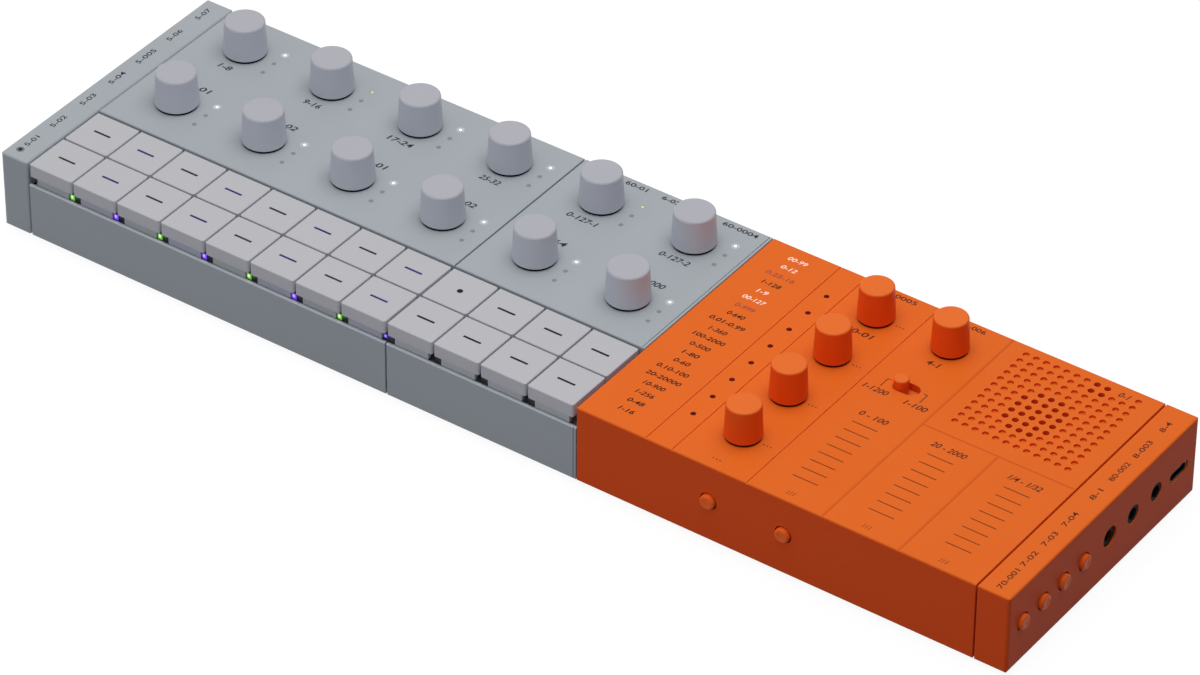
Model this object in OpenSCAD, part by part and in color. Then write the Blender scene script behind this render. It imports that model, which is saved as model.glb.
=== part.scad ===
// Slim tabletop drum machine: keys, knobs, an effects block with touch strips and a speaker.
// Every length is in millimetres. +X runs along the case, +Y to the rear, +Z up.

/* [Case] */
// Depth of the case from front face to rear face
case_depth = 95.4; // [94:0.2:100]
// Height of the case without its feet
case_height = 25.3; // [25:0.1:28]
// Thickness of the outer walls
wall = 2; // [1.7:0.1:2.2]
// Thickness of the top panels
panel_thickness = 2; // [1.7:0.1:2.2]
// Thickness of the bottom cover
floor_thickness = 2; // [1.6:0.1:2.4]
// Length of the left end cap
end_left_length = 9.5; // [9:0.1:12]
// Length of the right end cap
end_right_length = 10.1; // [9.5:0.1:12]
// Length of the effects block
fx_length = 128.55; // [128.5:0.05:134]
// Open groove between two neighbouring sections
seam_gap = 0.5; // [0.4:0.05:0.7]
// Narrow gap between the synth section and the effects block
fx_gap = 0.3; // [0.2:0.05:0.5]
// Rounding of the long edges
edge_radius = 0.6; // [0.3:0.1:1.2]
// Rounding of the case's upright corners
corner_radius = 0.9; // [0.6:0.1:2]
// Rounding of the sections' edges along the seams
seam_radius = 0.25; // [0.15:0.05:0.4]
// Rounding of the left end cap's edge along its seam
cap_seam_radius = 0.7; // [0.4:0.1:1]
// Gap around the bottom cover
cover_gap = 0.3; // [0.2:0.05:0.5]

/* [Keys] */
// Side of one square key
key_size = 15.3; // [15:0.1:16]
// Gap between neighbouring keys
key_gap = 0.63; // [0.6:0.01:0.8]
// Gap from a section's left edge to its first key
key_margin = 0.35; // [0.35:0.05:0.6]
// Key columns in the drum section
drum_columns = 8; // [8:1:8]
// Key columns in the synth section
synth_columns = 4; // [4:1:4]
// Set-back of the front keys from the front face
key_setback = 0.15; // [0.1:0.05:0.3]
// Height of a key's square block
key_block_height = 4.2; // [4:0.1:4.6]
// Height of the set-back skirt under the block
key_skirt_height = 3.1; // [2.8:0.1:3.2]
// Set-back of the skirt behind the key's front
key_skirt_setback = 1; // [0.9:0.1:1.3]
// Width of the window left free beside the skirt
key_window = 1.9; // [1.7:0.1:2.2]
// Wall of the key moulding
key_wall = 1.2; // [1:0.1:1.4]
// Rounding of a key's upright corners
key_corner = 0.7; // [0.4:0.1:1]
// Rounding of a key's top edges
key_edge = 0.3; // [0.2:0.05:0.5]
// Travel of a key
key_travel = 1; // [0.8:0.1:1]
// Diameter of a key's plunger
plunger_diameter = 4.4; // [4:0.1:5]
// Diameter of a key's guide pins
guide_pin_diameter = 1.8; // [1.5:0.1:2]

/* [Knobs] */
// Inset of the first knob column from its section's left edge
knob_inset = 15.9; // [15.3:0.05:16.5]
// Distance of the front knob row from the front edge of its panel
knob_front_inset = 15.94; // [15.5:0.01:18]
// Distance of the rear knob row from the rear face
knob_rear_inset = 14.95; // [14:0.05:17]
// Diameter of a grey knob at its foot
knob_diameter = 13.1; // [12.5:0.1:13.8]
// Diameter of a grey knob at its top
knob_top_diameter = 12.1; // [11:0.1:12.4]
// Diameter of an effects knob at its foot
fx_knob_diameter = 10.9; // [10.6:0.1:11.6]
// Diameter of an effects knob at its top
fx_knob_top_diameter = 10; // [9.4:0.1:10.4]
// Height of every knob
knob_height = 10.6; // [10:0.1:12]
// Gap between a knob and the panel
knob_gap = 0.6; // [0.4:0.1:1]
// Rounding of a knob's top edge
knob_edge = 0.6; // [0.4:0.1:0.9]
// Wall of a knob's skirt
knob_wall = 1.1; // [0.9:0.1:1.3]
// Diameter of an encoder shaft
shaft_diameter = 6; // [6:0.1:6]
// Height of the flat side of a shaft over its round side
shaft_flat = 4.5; // [4.4:0.1:4.7]
// Running clearance of a shaft in its encoder
shaft_clearance = 0.05; // [0.02:0.01:0.08]

/* [Effects block] */
// Distance from the block's left edge to the indicator strip
strip_inset = 22.8; // [22:0.1:24]
// Width of the indicator strip
indicator_strip = 8.6; // [7.8:0.1:9]
// Distance of the front effects knob from the front face
fx_knob_front = 16.4; // [15:0.1:18]
// Distance of the rear effects knob from the rear face
fx_knob_rear = 14.1; // [13:0.1:16]
// Width of the panel grooves
groove_width = 0.4; // [0.3:0.05:0.6]
// Depth of the panel grooves
groove_depth = 0.35; // [0.25:0.05:0.5]
// Width of the faint creases between the touch strips
crease_width = 1.5; // [1:0.1:2]
// Depth of the faint creases
crease_depth = 0.14; // [0.08:0.01:0.2]
// Depth of the speaker's field, from the rear face to the cross crease
speaker_field = 46.3; // [45:0.1:48]
// Inset of a touch strip from the front face
touch_front_inset = 8; // [7:0.5:10]
// Gap between a touch strip and the cross crease
touch_rear_inset = 7.1; // [6:0.1:9]
// Distance of the grille's middle from the rear face
grille_rear_inset = 22.05; // [21.5:0.05:23]
// Holes along one side of the grille
grille_count = 12; // [12:1:12]
// Distance between grille holes
grille_pitch = 3.28; // [3.2:0.01:3.35]
// Diameter of a grille hole
grille_hole = 2; // [1.8:0.1:2.3]
// Depth of a blind grille hole
grille_depth = 0.75; // [0.6:0.05:1.2]
// Diameter of the speaker
speaker_diameter = 28; // [26:0.5:33]
// Height of the speaker
speaker_height = 12; // [10:0.5:13]
// Length of the slide switch's slot
slot_length = 8.2; // [7.6:0.1:9]
// Width of the slide switch's slot
slot_width = 5.1; // [4.8:0.1:5.6]
// Diameter of the slide switch's pin
slide_pin_diameter = 4.4; // [4:0.1:4.6]
// Height of the slide switch's pin over the panel
slide_pin_height = 2.8; // [2:0.1:4]

/* [Side buttons and sockets] */
// Height of the button row over the underside of the case
button_height = 13.3; // [13:0.1:13.6]
// Diameter of a side button
button_diameter = 4.6; // [4.2:0.1:5]
// Clearance around a side button in its hole
button_clearance = 0.45; // [0.25:0.05:0.5]
// Rounding of a side button's rim
button_edge = 0.8; // [0.4:0.1:0.9]
// Depth of the dish in a side button's face
button_dish = 0.15; // [0.1:0.05:0.25]
// Stand-out of the end buttons
end_button_stand = 1.2; // [0.8:0.1:1.3]
// Stand-out of the front and rear buttons
face_button_stand = 1.2; // [0.7:0.1:1.3]
// Travel of a side button
button_travel = 0.6; // [0.4:0.1:0.6]
// Distance of the left end's front button from the front face
left_row_front = 8; // [7.5:0.1:9]
// Distance of the left end's rear button from the rear face
left_row_rear = 7; // [7:0.1:9]
// Distance of the right end's front button from the front face
right_row_front = 7.2; // [7.2:0.1:9]
// Distance of the USB-C receptacle from the rear face
right_row_rear = 9.2; // [9:0.1:11]
// Distance between neighbouring sockets
socket_pitch = 11.85; // [11.5:0.05:12.2]
// Distance between the last side button and the first socket
socket_gap = 13.05; // [12.5:0.05:14]
// Distance of the first rear button from the synth section's left edge
rear_row_inset = 19.4; // [18:0.1:21]
// Distance between the rear buttons of the synth section
rear_button_pitch = 11.9; // [11:0.1:12.5]
// Bore of a mini-jack socket
jack_bore = 3.6; // [3.6:0.1:3.6]
// Outer diameter of a socket's barrel
jack_barrel = 5.2; // [5:0.1:5.4]
// Clearance around a socket's barrel
jack_clearance = 0.25; // [0.2:0.05:0.4]
// Width of the USB-C receptacle
usb_width = 8.94; // [8.94:0.01:8.94]
// Height of the USB-C receptacle
usb_height = 3.26; // [3.26:0.01:3.26]

/* [Inside] */
// Thickness of the main board
board_thickness = 1.6; // [1.6:0.1:1.6]
// Height of an encoder's body
encoder_height = 6.5; // [6.3:0.1:6.7]
// Side of an encoder's square body
encoder_side = 12; // [11.5:0.1:12.2]
// Diameter of an encoder's bushing
bushing_diameter = 7; // [6.9:0.1:7.2]
// Thickness of the rubber key mat
mat_thickness = 0.6; // [0.4:0.1:0.7]
// Width of the battery pack
battery_width = 52; // [48:1:52]
// Depth of the battery pack
battery_depth = 56; // [50:1:66]
// Thickness of the battery pack
battery_thickness = 8; // [6:0.5:8]
// Diameter of an indicator lens
lens_diameter = 1.3; // [1.1:0.1:1.5]

/* [Feet] */
// Diameter of a rubber foot
foot_diameter = 11; // [8:0.5:12]
// Height of a foot under the case
foot_height = 1.5; // [1:0.1:2]

/* [Hidden] */
$fn = 48;
eps = 0.01;
fit = 0.3;              // clearance between pieces that don't touch
seat = 0.05;            // clearance of a piece in its seat
plunger_fit = 0.15;     // running clearance of a key's plunger and pins in the deck
rib_width = 1;
rib_height = 2;         // stiffening ribs under the panels

grey = "#A5ABB0";
key_grey = "#B5B5B7";
knob_grey = "#A9A9B0";
orange = "#E2641E";
rubber = "#2B2C2E";

// Case sections, from left to right
key_pitch = key_size + key_gap;
drum_length = key_margin + drum_columns * key_pitch - key_gap;
strip_wall = 0.6;
strip_gap = 0.5;
synth_length = key_margin + synth_columns * key_pitch - key_gap + strip_gap + strip_wall;
drum_left = end_left_length + seam_gap;
drum_right = drum_left + drum_length;
synth_left = drum_right + seam_gap;
synth_right = synth_left + synth_length;
fx_left = synth_right + fx_gap;
fx_right = fx_left + fx_length;
right_cap_left = fx_right + seam_gap;
case_length = right_cap_left + end_right_length;

// Levels over the underside of the case
ceiling = case_height - panel_thickness;
encoder_gap = 2.8;
board_top = ceiling - encoder_gap - encoder_height;
board_bottom = board_top - board_thickness;
mat_top = board_top + mat_thickness;
pad_top = mat_top + 0.3;
key_block_bottom = case_height - key_block_height;
key_skirt_bottom = key_block_bottom - key_skirt_height;
deck_top = key_skirt_bottom - key_travel - fit - 0.2;
deck_thickness = 1.2;
deck_bottom = deck_top - deck_thickness;
fascia_top = key_skirt_bottom;
plunger_bottom = pad_top + key_travel + plunger_fit;

// Key recess
panel_front = key_setback + 2 * key_pitch + 0.4;
riser_back = panel_front + wall;
lip_width = 0.8;
lip_radius = 0.45;

// Board outline, clear of the button combs inside the walls
board_edge = 5.8;
board_ear_length = 35;  // reaches past the USB-C receptacle's sides
board_ear_left = case_length - board_edge - board_ear_length;
board_ear_back = case_depth - right_row_rear + usb_width / 2 + 1;

// Seam tongues
tongue_length = 2.5;
tongue_root = 1;
tongue_wall = 1.2;
tongue_fit = 0.15;
tongue_floor = floor_thickness + 0.6;
tongue_side_top = board_bottom - 1;

// Combs that carry the side buttons, and the switches behind them
comb_flange = 6.6;
comb_flange_depth = 1;
comb_bar_depth = 1;
comb_bar_height = 4.4;
comb_web_height = 1.6;
comb_seat = 0.25;
comb_back = wall + comb_seat + comb_flange_depth + comb_bar_depth;
switch_body = [5, 3];
switch_height = 2.2;
nub = [1.6, 0.8];       // width and height of the nub that a button pushes
nub_lift = 0.7;
nub_gap = 0.1;          // left to the button's bar at full travel
cap_wall_bottom = board_top + seat + switch_height + fit;

// Rows of the sockets, from rear to front: USB-C, two jacks for audio and one for notes.
// The buttons of each end share out the depth that is left.
usb_row = case_depth - right_row_rear;
jack_rows = [for (i = [3:-1:1]) usb_row - i * socket_pitch];
left_button_pitch = (case_depth - left_row_front - left_row_rear) / 6;
right_button_pitch = (jack_rows[0] - socket_gap - right_row_front) / 3;

// Screw bosses
boss_diameter = 6.4;
boss_tip_diameter = 4.6;
pilot_diameter = 2.2;
pilot_depth = 8;
screw_hole = 2.6;
screw_head = 5.2;
screw_sink = 1.2;
boss_row = key_setback + key_pitch - key_gap / 2;
knob_rows = [panel_front + knob_front_inset, case_depth - knob_rear_inset];
knob_mid = (knob_rows[0] + knob_rows[1]) / 2;
function key_seam(left, column) = left + key_margin + column * key_pitch - key_gap / 2;
function knob_column(left, i) = left + knob_inset + i * 2 * key_pitch;
drum_deck_bosses = [[key_seam(drum_left, 1), boss_row], [key_seam(drum_left, 6), boss_row]];
synth_deck_bosses = [[key_seam(synth_left, 1), boss_row], [key_seam(synth_left, 3), boss_row]];
drum_panel_bosses = [for (i = [0, 2]) [knob_column(drum_left, i) + key_pitch, knob_mid]];
synth_panel_bosses = [[knob_column(synth_left, 0) + key_pitch, knob_mid]];
strip_pitch = (fx_length - strip_inset - indicator_strip) / 4;
cross_groove = case_depth - speaker_field;
function strip_edge(k) = fx_left + strip_inset + indicator_strip + k * strip_pitch;
function strip_middle(k) = strip_edge(k) + strip_pitch / 2;
fx_boss_inset = 9.5;
fx_bosses = concat(
    [for (x = [fx_left + strip_inset / 2, strip_edge(2), strip_edge(3)]) [x, fx_boss_inset]],
    [for (x = [fx_left + strip_inset / 2, strip_edge(2)]) [x, case_depth - fx_boss_inset]],
    [for (x = [strip_edge(1), strip_middle(2)]) [x, cross_groove]]);
cap_boss_diameter = 4;
cap_boss_inset = comb_back + button_travel + fit + cap_boss_diameter / 2;
left_cap_boss = cap_boss_inset;
right_cap_boss = case_length - cap_boss_inset;
left_cap_bosses = [for (i = [2, 5]) [left_cap_boss, left_button(i) + left_button_pitch / 2]];
right_cap_bosses = [
    [right_cap_boss, right_button(0) + right_button_pitch / 2],
    [right_cap_boss, (right_button(3) + jack_rows[0]) / 2]];
housing_bosses = concat(drum_deck_bosses, synth_deck_bosses, drum_panel_bosses,
    synth_panel_bosses, fx_bosses);
cap_bosses = concat(left_cap_bosses, right_cap_bosses);

// Side buttons and sockets
function left_button(i) = left_row_front + i * left_button_pitch;
function right_button(i) = right_row_front + i * right_button_pitch;
function rear_button(i) = synth_left + rear_row_inset + i * rear_button_pitch;
left_buttons = [for (i = [0:6]) left_button(i)];
right_buttons = [for (i = [0:3]) right_button(i)];
rear_grey_buttons = [for (i = [0:3]) rear_button(i)];
fx_face_buttons = [strip_middle(0), strip_middle(1)];
button_hole = button_diameter + 2 * button_clearance;
jack_height = 13.1;
jack_length = 14.6;
jack_body_width = 6.5;
jack_body_height = 5.8;
jack_recess = [1.6, 0.6, 0.6];
jack_barrel_length = 3;
jack_backing = 1;       // left behind a socket's bore
midi_hole = 6.5;
usb_level = 12.2;
usb_length = 9;
usb_shell = 0.35;
usb_recess = 0.4;
usb_tongue = 0.7;       // thickness of the tongue, and its set-back behind the opening
usb_slot_gap = 0.33;

// Effects block
fx_knob_pitch = (case_depth - fx_knob_front - fx_knob_rear) / 3;
fx_knob_rows = [for (i = [0:3]) fx_knob_front + i * fx_knob_pitch];
fx_indicator_column = fx_left + strip_inset + indicator_strip / 2;
fx_indicator_count = 8;
fx_indicator_pitch = 3 * fx_knob_pitch / (fx_indicator_count - 1);
fx_indicator_hole = 1.7;
grille_centre = [strip_edge(3), case_depth - grille_rear_inset];
speaker_centre = [grille_centre[0] - grille_pitch / 2, grille_centre[1] - grille_pitch];
speaker_radius_in_holes = 2.83;
mic_centre = [grille_centre[0] + 2 * grille_pitch, grille_centre[1] + 5 * grille_pitch];
mic_diameter = 5.5;
gasket = 0.3;
touch_length = cross_groove - touch_rear_inset - touch_front_inset;
touch_width = 9;
touch_thickness = 1;
slide_centre = [strip_middle(1), fx_knob_front + 2 * fx_knob_pitch];
slide_clearance = 0.15;
slide_travel = slot_length - slide_pin_diameter - 2 * slide_clearance;
slide_start = slide_centre[0] - slide_travel / 2;
slide_overlap = 1.5;    // carrier past the slot's ends and sides at full travel
slide_carrier = [slot_length + slide_travel + slide_overlap, slot_width + 2 * slide_overlap, 1.2];
slide_edge = 0.5;
slide_body = [14, 7];
slide_drive = 2;        // peg that moves the switch under the carrier

// Indicators beside the grey knobs
lens_offset = 10.45;
lens_spacing = 5.3;
lens_top = case_height - 0.1;
lens_clearance = 0.05;
lens_web = 0.8;
lens_web_top = ceiling - 0.25;
lens_foot = lens_diameter + 0.6;
led_height = 0.7;
led_side = 1.6;
lens_bottom = board_top + led_height + 0.2;

// Light guides in the windows beside the front keys
guide_width = 2.2;
guide_front = key_setback + key_skirt_setback + 1.5;
guide_back = guide_front + 4.5;
guide_leg = 1.3;
guide_top = key_block_bottom - key_travel - fit - 0.2;
guide_columns = concat([for (i = [1:drum_columns - 1]) key_seam(drum_left, i)],
    [(drum_right + synth_left) / 2], [for (i = [1:synth_columns - 1]) key_seam(synth_left, i)]);
knob_columns = concat([for (i = [0:3]) knob_column(drum_left, i)],
    [for (i = [0:1]) knob_column(synth_left, i)]);

// Encoder shafts, and the hubs and roofs of the knobs
bushing_top = case_height + 0.2;
shaft_base = 3;         // solid part of an encoder under its shaft
shaft_bottom = board_top + shaft_base;
knob_roof = 2.4;
hub_wall = 1.6;
foot_chamfer = 0.3;
shaft_top = case_height + knob_gap + knob_height - knob_roof - 0.2;

// Feet and battery
foot_sink = 0.5;
foot_bevel = 0.6;
foot_inset = [19, 13];
foot_columns = [foot_inset[0], case_length / 2, case_length - foot_inset[0]];
foot_places = [for (x = foot_columns, y = [foot_inset[1], case_depth - foot_inset[1]]) [x, y]];
tray_wall = 1.5;
tray_height = 5;
tray_notch = [8, tray_height - 1];
battery_inset = boss_tip_diameter / 2 + 2 * fit + tray_wall;
battery_corner = [drum_panel_bosses[0][0] + battery_inset, boss_row + battery_inset];
post_diameter = 5;
post_inset = 6;
board_posts = [[drum_left + post_inset + 2, knob_rows[1] - post_inset], [drum_right - post_inset, knob_mid],
    [fx_left + post_inset, knob_mid], [strip_edge(1), case_depth - 2 * post_inset]];
cover_rib_height = 3;
cover_rib_inset = board_edge - 0.1;
cover_ribs = [(drum_right + synth_left) / 2, synth_panel_bosses[0][0] + key_pitch / 2, strip_edge(0),
    strip_middle(1), strip_middle(3)];

module in_case() {
    translate([-case_length / 2, -case_depth / 2, foot_height]) children();
}

// 2D helpers

// Rectangle with its own corner radius at the left and at the right end
module rounded_ends(size, left, right) {
    middle = size[0] / 2;
    translate([left, 0]) square([size[0] - left - right, size[1]]);
    translate([0, left]) square([middle, size[1] - 2 * left]);
    translate([middle, right]) square([middle, size[1] - 2 * right]);
    for (y = [left, size[1] - left]) translate([left, y]) circle(left);
    for (y = [right, size[1] - right]) translate([size[0] - right, y]) circle(right);
}

module rounded_square(size, r) {
    rounded_ends(size, r, r);
}

module stadium(length, width) {
    square([length - width, width], center = true);
    for (side = [-1, 1]) translate([side * (length - width) / 2, 0]) circle(d = width);
}

// What a rounded upper front corner takes away
module corner_cut(r) {
    difference() {
        translate([-1, -r]) square([r + 1, r + 1]);
        translate([r, -r]) circle(r);
        translate([r, -r - 1]) square([r + 1, r + 1]);
    }
}

// Extrudes a drawing of depth against height along the case
module along_case(from, to) {
    translate([from, 0, 0]) rotate([90, 0, 90]) linear_extrude(to - from) children();
}

// Block over the whole depth and height of the case, with rounded upright and top edges: the
// children are its cross-section, left and right the radii at its two ends
module section_block(from, to, left, right) {
    length = to - from;
    intersection() {
        translate([from, 0, 0]) linear_extrude(case_height)
            rounded_ends([length, case_depth], left, right);
        translate([from, case_depth, 0]) rotate([90, 0, 0]) linear_extrude(case_depth)
            rounded_ends([length, case_height], min(left, edge_radius), right);
        along_case(from, to) children();
    }
}

// Case shells

// Cross-section of a section with keys: front fascia, key deck, riser, panel and rear wall
module key_section() {
    difference() {
        rounded_square([case_depth, case_height], edge_radius);
        translate([wall, -1]) square([case_depth - 2 * wall, deck_bottom + 1]);
        translate([riser_back, deck_bottom - 1])
            square([case_depth - wall - riser_back, ceiling - deck_bottom + 1]);
        translate([lip_width, deck_top]) square([panel_front - lip_width, case_height]);
        translate([-1, fascia_top]) square([panel_front + 1, case_height]);
        translate([0, fascia_top]) corner_cut(lip_radius);
        translate([panel_front, case_height]) corner_cut(lip_radius);
    }
}

module plain_section() {
    difference() {
        rounded_square([case_depth, case_height], edge_radius);
        translate([wall, -1]) square([case_depth - 2 * wall, ceiling + 1]);
    }
}

// Bars just inside the front and rear walls, and under the panel from top_from to the rear
module tongue_bars(from, to, top_from, gap) {
    thickness = tongue_wall + tongue_fit - gap;
    back = case_depth - wall - gap;
    along_case(from, to) {
        translate([wall + gap, tongue_floor])
            square([thickness, tongue_side_top - tongue_floor]);
        translate([back - thickness, tongue_floor])
            square([thickness, tongue_side_top - tongue_floor]);
        if (top_from > 0)
            translate([top_from + tongue_fit, ceiling - gap - thickness])
                square([back - top_from - tongue_fit, thickness]);
    }
}

// Tongue that closes a seam from inside: its root joins its own section at one end
module seam_tongue(from, to, root, top_from) {
    tongue_bars(from, to, top_from, tongue_fit);
    tongue_bars(root, root + tongue_root, top_from, -eps);
}

module boss(place, top) {
    translate([place[0], place[1], 0]) {
        translate([0, 0, board_top]) cylinder(d = boss_diameter, h = top - board_top);
        translate([0, 0, floor_thickness])
            cylinder(d = boss_tip_diameter, h = board_top - floor_thickness + eps);
    }
}

module cap_boss(place) {
    translate([place[0], place[1], floor_thickness])
        cylinder(d = cap_boss_diameter, h = ceiling - floor_thickness + eps);
}

module pilot(place) {
    translate([place[0], place[1], floor_thickness - 1])
        cylinder(d = pilot_diameter, h = pilot_depth + 1);
}

module key_places(left, columns) {
    for (column = [0:columns - 1], row = [0, 1])
        translate([left + key_margin + column * key_pitch, key_setback + row * key_pitch, 0])
            children();
}

// Holes in the deck for each key's plunger and guide pins
module deck_holes(left, columns) {
    key_places(left, columns) translate([key_size / 2, key_size / 2, deck_bottom - 1]) {
        cylinder(d = plunger_diameter + 2 * plunger_fit, h = deck_thickness + 2);
        for (side = [-1, 1])
            translate([side * key_size / 3, key_size / 4, 0])
                cylinder(d = guide_pin_diameter + 2 * plunger_fit, h = deck_thickness + 2);
    }
}

// Slots where the light guides rise between the front keys
module guide_slots() {
    for (x = guide_columns)
        translate([x - guide_width / 2 - seat, guide_back - guide_leg - seat, deck_bottom - 1])
            cube([guide_width + 2 * seat, guide_leg + 2 * seat, deck_thickness + 2]);
}

// Round openings over the encoders and indicator lenses of a grey panel
module panel_holes(left, columns) {
    for (i = [0:columns - 1], y = knob_rows) {
        translate([knob_column(left, i), y, ceiling - 1])
            cylinder(d = bushing_diameter + 0.4, h = panel_thickness + 2);
        for (k = [-1:1])
            translate([knob_column(left, i) + lens_offset, y + k * lens_spacing, ceiling - 1])
                cylinder(d = lens_diameter + 2 * lens_clearance, h = panel_thickness + 2);
    }
}

// Ribs under a grey panel: one along it and one behind each of the given places
module panel_ribs(places, from, to) {
    start = from + tongue_length + 2 * fit;
    bottom = ceiling - rib_height;
    translate([start, knob_mid - rib_width / 2, bottom])
        cube([to - from - 2 * (start - from), rib_width, rib_height + eps]);
    for (x = places)
        translate([x - rib_width / 2, riser_back - eps, bottom])
            cube([rib_width, case_depth - wall - riser_back + 2 * eps, rib_height + eps]);
}

module left_end_cap() color(grey) in_case() {
    difference() {
        union() {
            difference() {
                section_block(0, end_left_length, corner_radius, cap_seam_radius)
                    rounded_square([case_depth, case_height], edge_radius);
                translate([wall, wall, -1])
                    cube([end_left_length, case_depth - 2 * wall, ceiling + 1]);
            }
            translate([end_left_length - key_wall, wall / 2, cap_wall_bottom])
                cube([key_wall, riser_back - wall / 2, ceiling - cap_wall_bottom + eps]);
            seam_tongue(end_left_length - tongue_root, drum_left + tongue_length,
                end_left_length - tongue_root, riser_back);
            for (place = left_cap_bosses) cap_boss(place);
        }
        for (y = left_buttons)
            translate([-1, y, button_height]) rotate([0, 90, 0])
                cylinder(d = button_hole, h = wall + 2);
        for (place = left_cap_bosses) pilot(place);
    }
}

module right_end_cap() color(orange) in_case() {
    inner = right_cap_left;
    difference() {
        union() {
            difference() {
                translate([case_length, 0, 0]) mirror([1, 0, 0])
                    section_block(0, end_right_length, corner_radius, seam_radius)
                        rounded_square([case_depth, case_height], edge_radius);
                translate([inner - 1, wall, -1])
                    cube([end_right_length - wall + 1, case_depth - 2 * wall, ceiling + 1]);
            }
            seam_tongue(fx_right - tongue_length, inner + tongue_root, inner, wall);
            for (place = right_cap_bosses) cap_boss(place);
        }
        for (y = right_buttons)
            translate([case_length - wall - 1, y, button_height]) rotate([0, 90, 0])
                cylinder(d = button_hole, h = wall + 2);
        for (i = [0:2])
            translate([case_length - wall - 1, jack_rows[i], jack_height]) rotate([0, 90, 0])
                cylinder(d = i == 0 ? midi_hole : jack_barrel + 2 * jack_clearance, h = wall + 2);
        translate([case_length - wall - 1, usb_row, usb_level]) rotate([90, 0, 90])
            linear_extrude(wall + 2)
                stadium(usb_width + 2 * usb_slot_gap, usb_height + 2 * usb_slot_gap);
        for (place = right_cap_bosses) pilot(place);
    }
}

module drum_housing() color(grey) in_case() difference() {
    union() {
        section_block(drum_left, drum_right, seam_radius, seam_radius) key_section();
        panel_ribs([for (i = [0:2]) knob_column(drum_left, i) + key_pitch], drum_left, drum_right);
        for (place = drum_deck_bosses) boss(place, deck_bottom + eps);
        for (place = drum_panel_bosses) boss(place, ceiling + eps);
    }
    deck_holes(drum_left, drum_columns);
    guide_slots();
    panel_holes(drum_left, 4);
    for (place = concat(drum_deck_bosses, drum_panel_bosses)) pilot(place);
}

module synth_housing() color(grey) in_case() {
    strip_left = synth_right - strip_wall;
    difference() {
        union() {
            section_block(synth_left, synth_right, seam_radius, seam_radius) key_section();
            panel_ribs([knob_column(synth_left, 0) + key_pitch], synth_left, synth_right);
            seam_tongue(drum_right - tongue_length, synth_left + tongue_root, synth_left,
                riser_back);
            seam_tongue(synth_right - tongue_root, fx_left + tongue_length,
                synth_right - tongue_root, 0);
            for (place = synth_deck_bosses) boss(place, deck_bottom + eps);
            for (place = synth_panel_bosses) boss(place, ceiling + eps);
        }
        deck_holes(synth_left, synth_columns);
        guide_slots();
        panel_holes(synth_left, 2);
        translate([strip_left - groove_width, panel_front - 1, case_height - groove_depth])
            cube([groove_width, case_depth, groove_depth + 1]);
        translate([strip_left - groove_width, -1, -1])
            cube([groove_width, groove_depth + 1, case_height]);
        for (x = rear_grey_buttons) rear_hole(x);
        for (place = concat(synth_deck_bosses, synth_panel_bosses)) pilot(place);
    }
}

module rear_hole(x) {
    translate([x, case_depth + 1, button_height]) rotate([90, 0, 0])
        cylinder(d = button_hole, h = wall + 2);
}

// Drills the speaker and microphone pattern: blind dimples, open where sound passes
module grille() {
    function column(i) = i - (grille_count + 1) / 2;
    function is_speaker(i, j) =
        pow(column(i) + 0.5, 2) + pow(column(j) + 1, 2) < pow(speaker_radius_in_holes, 2);
    function is_mic(i, j) = j >= 11 && (i == 8 || i == 9);
    function is_bare(i, j) = j == 12 && (i == 10 || i == 11);
    for (i = [1:grille_count], j = [1:grille_count])
        if (!is_bare(i, j)) {
            depth = is_speaker(i, j) || is_mic(i, j) ? panel_thickness + 1 : grille_depth;
            translate([grille_centre[0] + column(i) * grille_pitch,
                grille_centre[1] + column(j) * grille_pitch, case_height - depth])
                cylinder(d = grille_hole, h = depth + 1);
        }
}

// Shallow crease with a round bottom, along Y
module crease(x, length) {
    radius = (crease_width * crease_width / 4 + crease_depth * crease_depth) / (2 * crease_depth);
    translate([x, -1, case_height - crease_depth + radius]) rotate([-90, 0, 0])
        cylinder(r = radius, h = length);
}

// Grooves part the control strips, faint creases the touch strips and the speaker's field
module fx_grooves() {
    for (x = [fx_left + strip_inset, strip_edge(0), strip_edge(1)])
        translate([x - groove_width / 2, -1, case_height - groove_depth])
            cube([groove_width, case_depth + 2, groove_depth + 1]);
    crease(strip_edge(2), case_depth + 2);
    crease(strip_edge(3), cross_groove + 1);
    translate([strip_edge(2) + 1, cross_groove, 0]) rotate([0, 0, -90])
        crease(0, fx_right - strip_edge(2) + 1);
}

// Ribs under the effects panel, along its grooves and creases
module fx_ribs() {
    bottom = ceiling - rib_height;
    for (rib = [[strip_edge(0), case_depth - wall], [strip_edge(1), case_depth - wall],
            [strip_edge(2), case_depth - wall], [strip_edge(3), cross_groove]])
        translate([rib[0] - rib_width / 2, wall - eps, bottom])
            cube([rib_width, rib[1] - wall + 2 * eps, rib_height + eps]);
    translate([strip_edge(1), cross_groove - rib_width / 2, bottom])
        cube([fx_right - tongue_length - 2 * fit - strip_edge(1), rib_width, rib_height + eps]);
}

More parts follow.
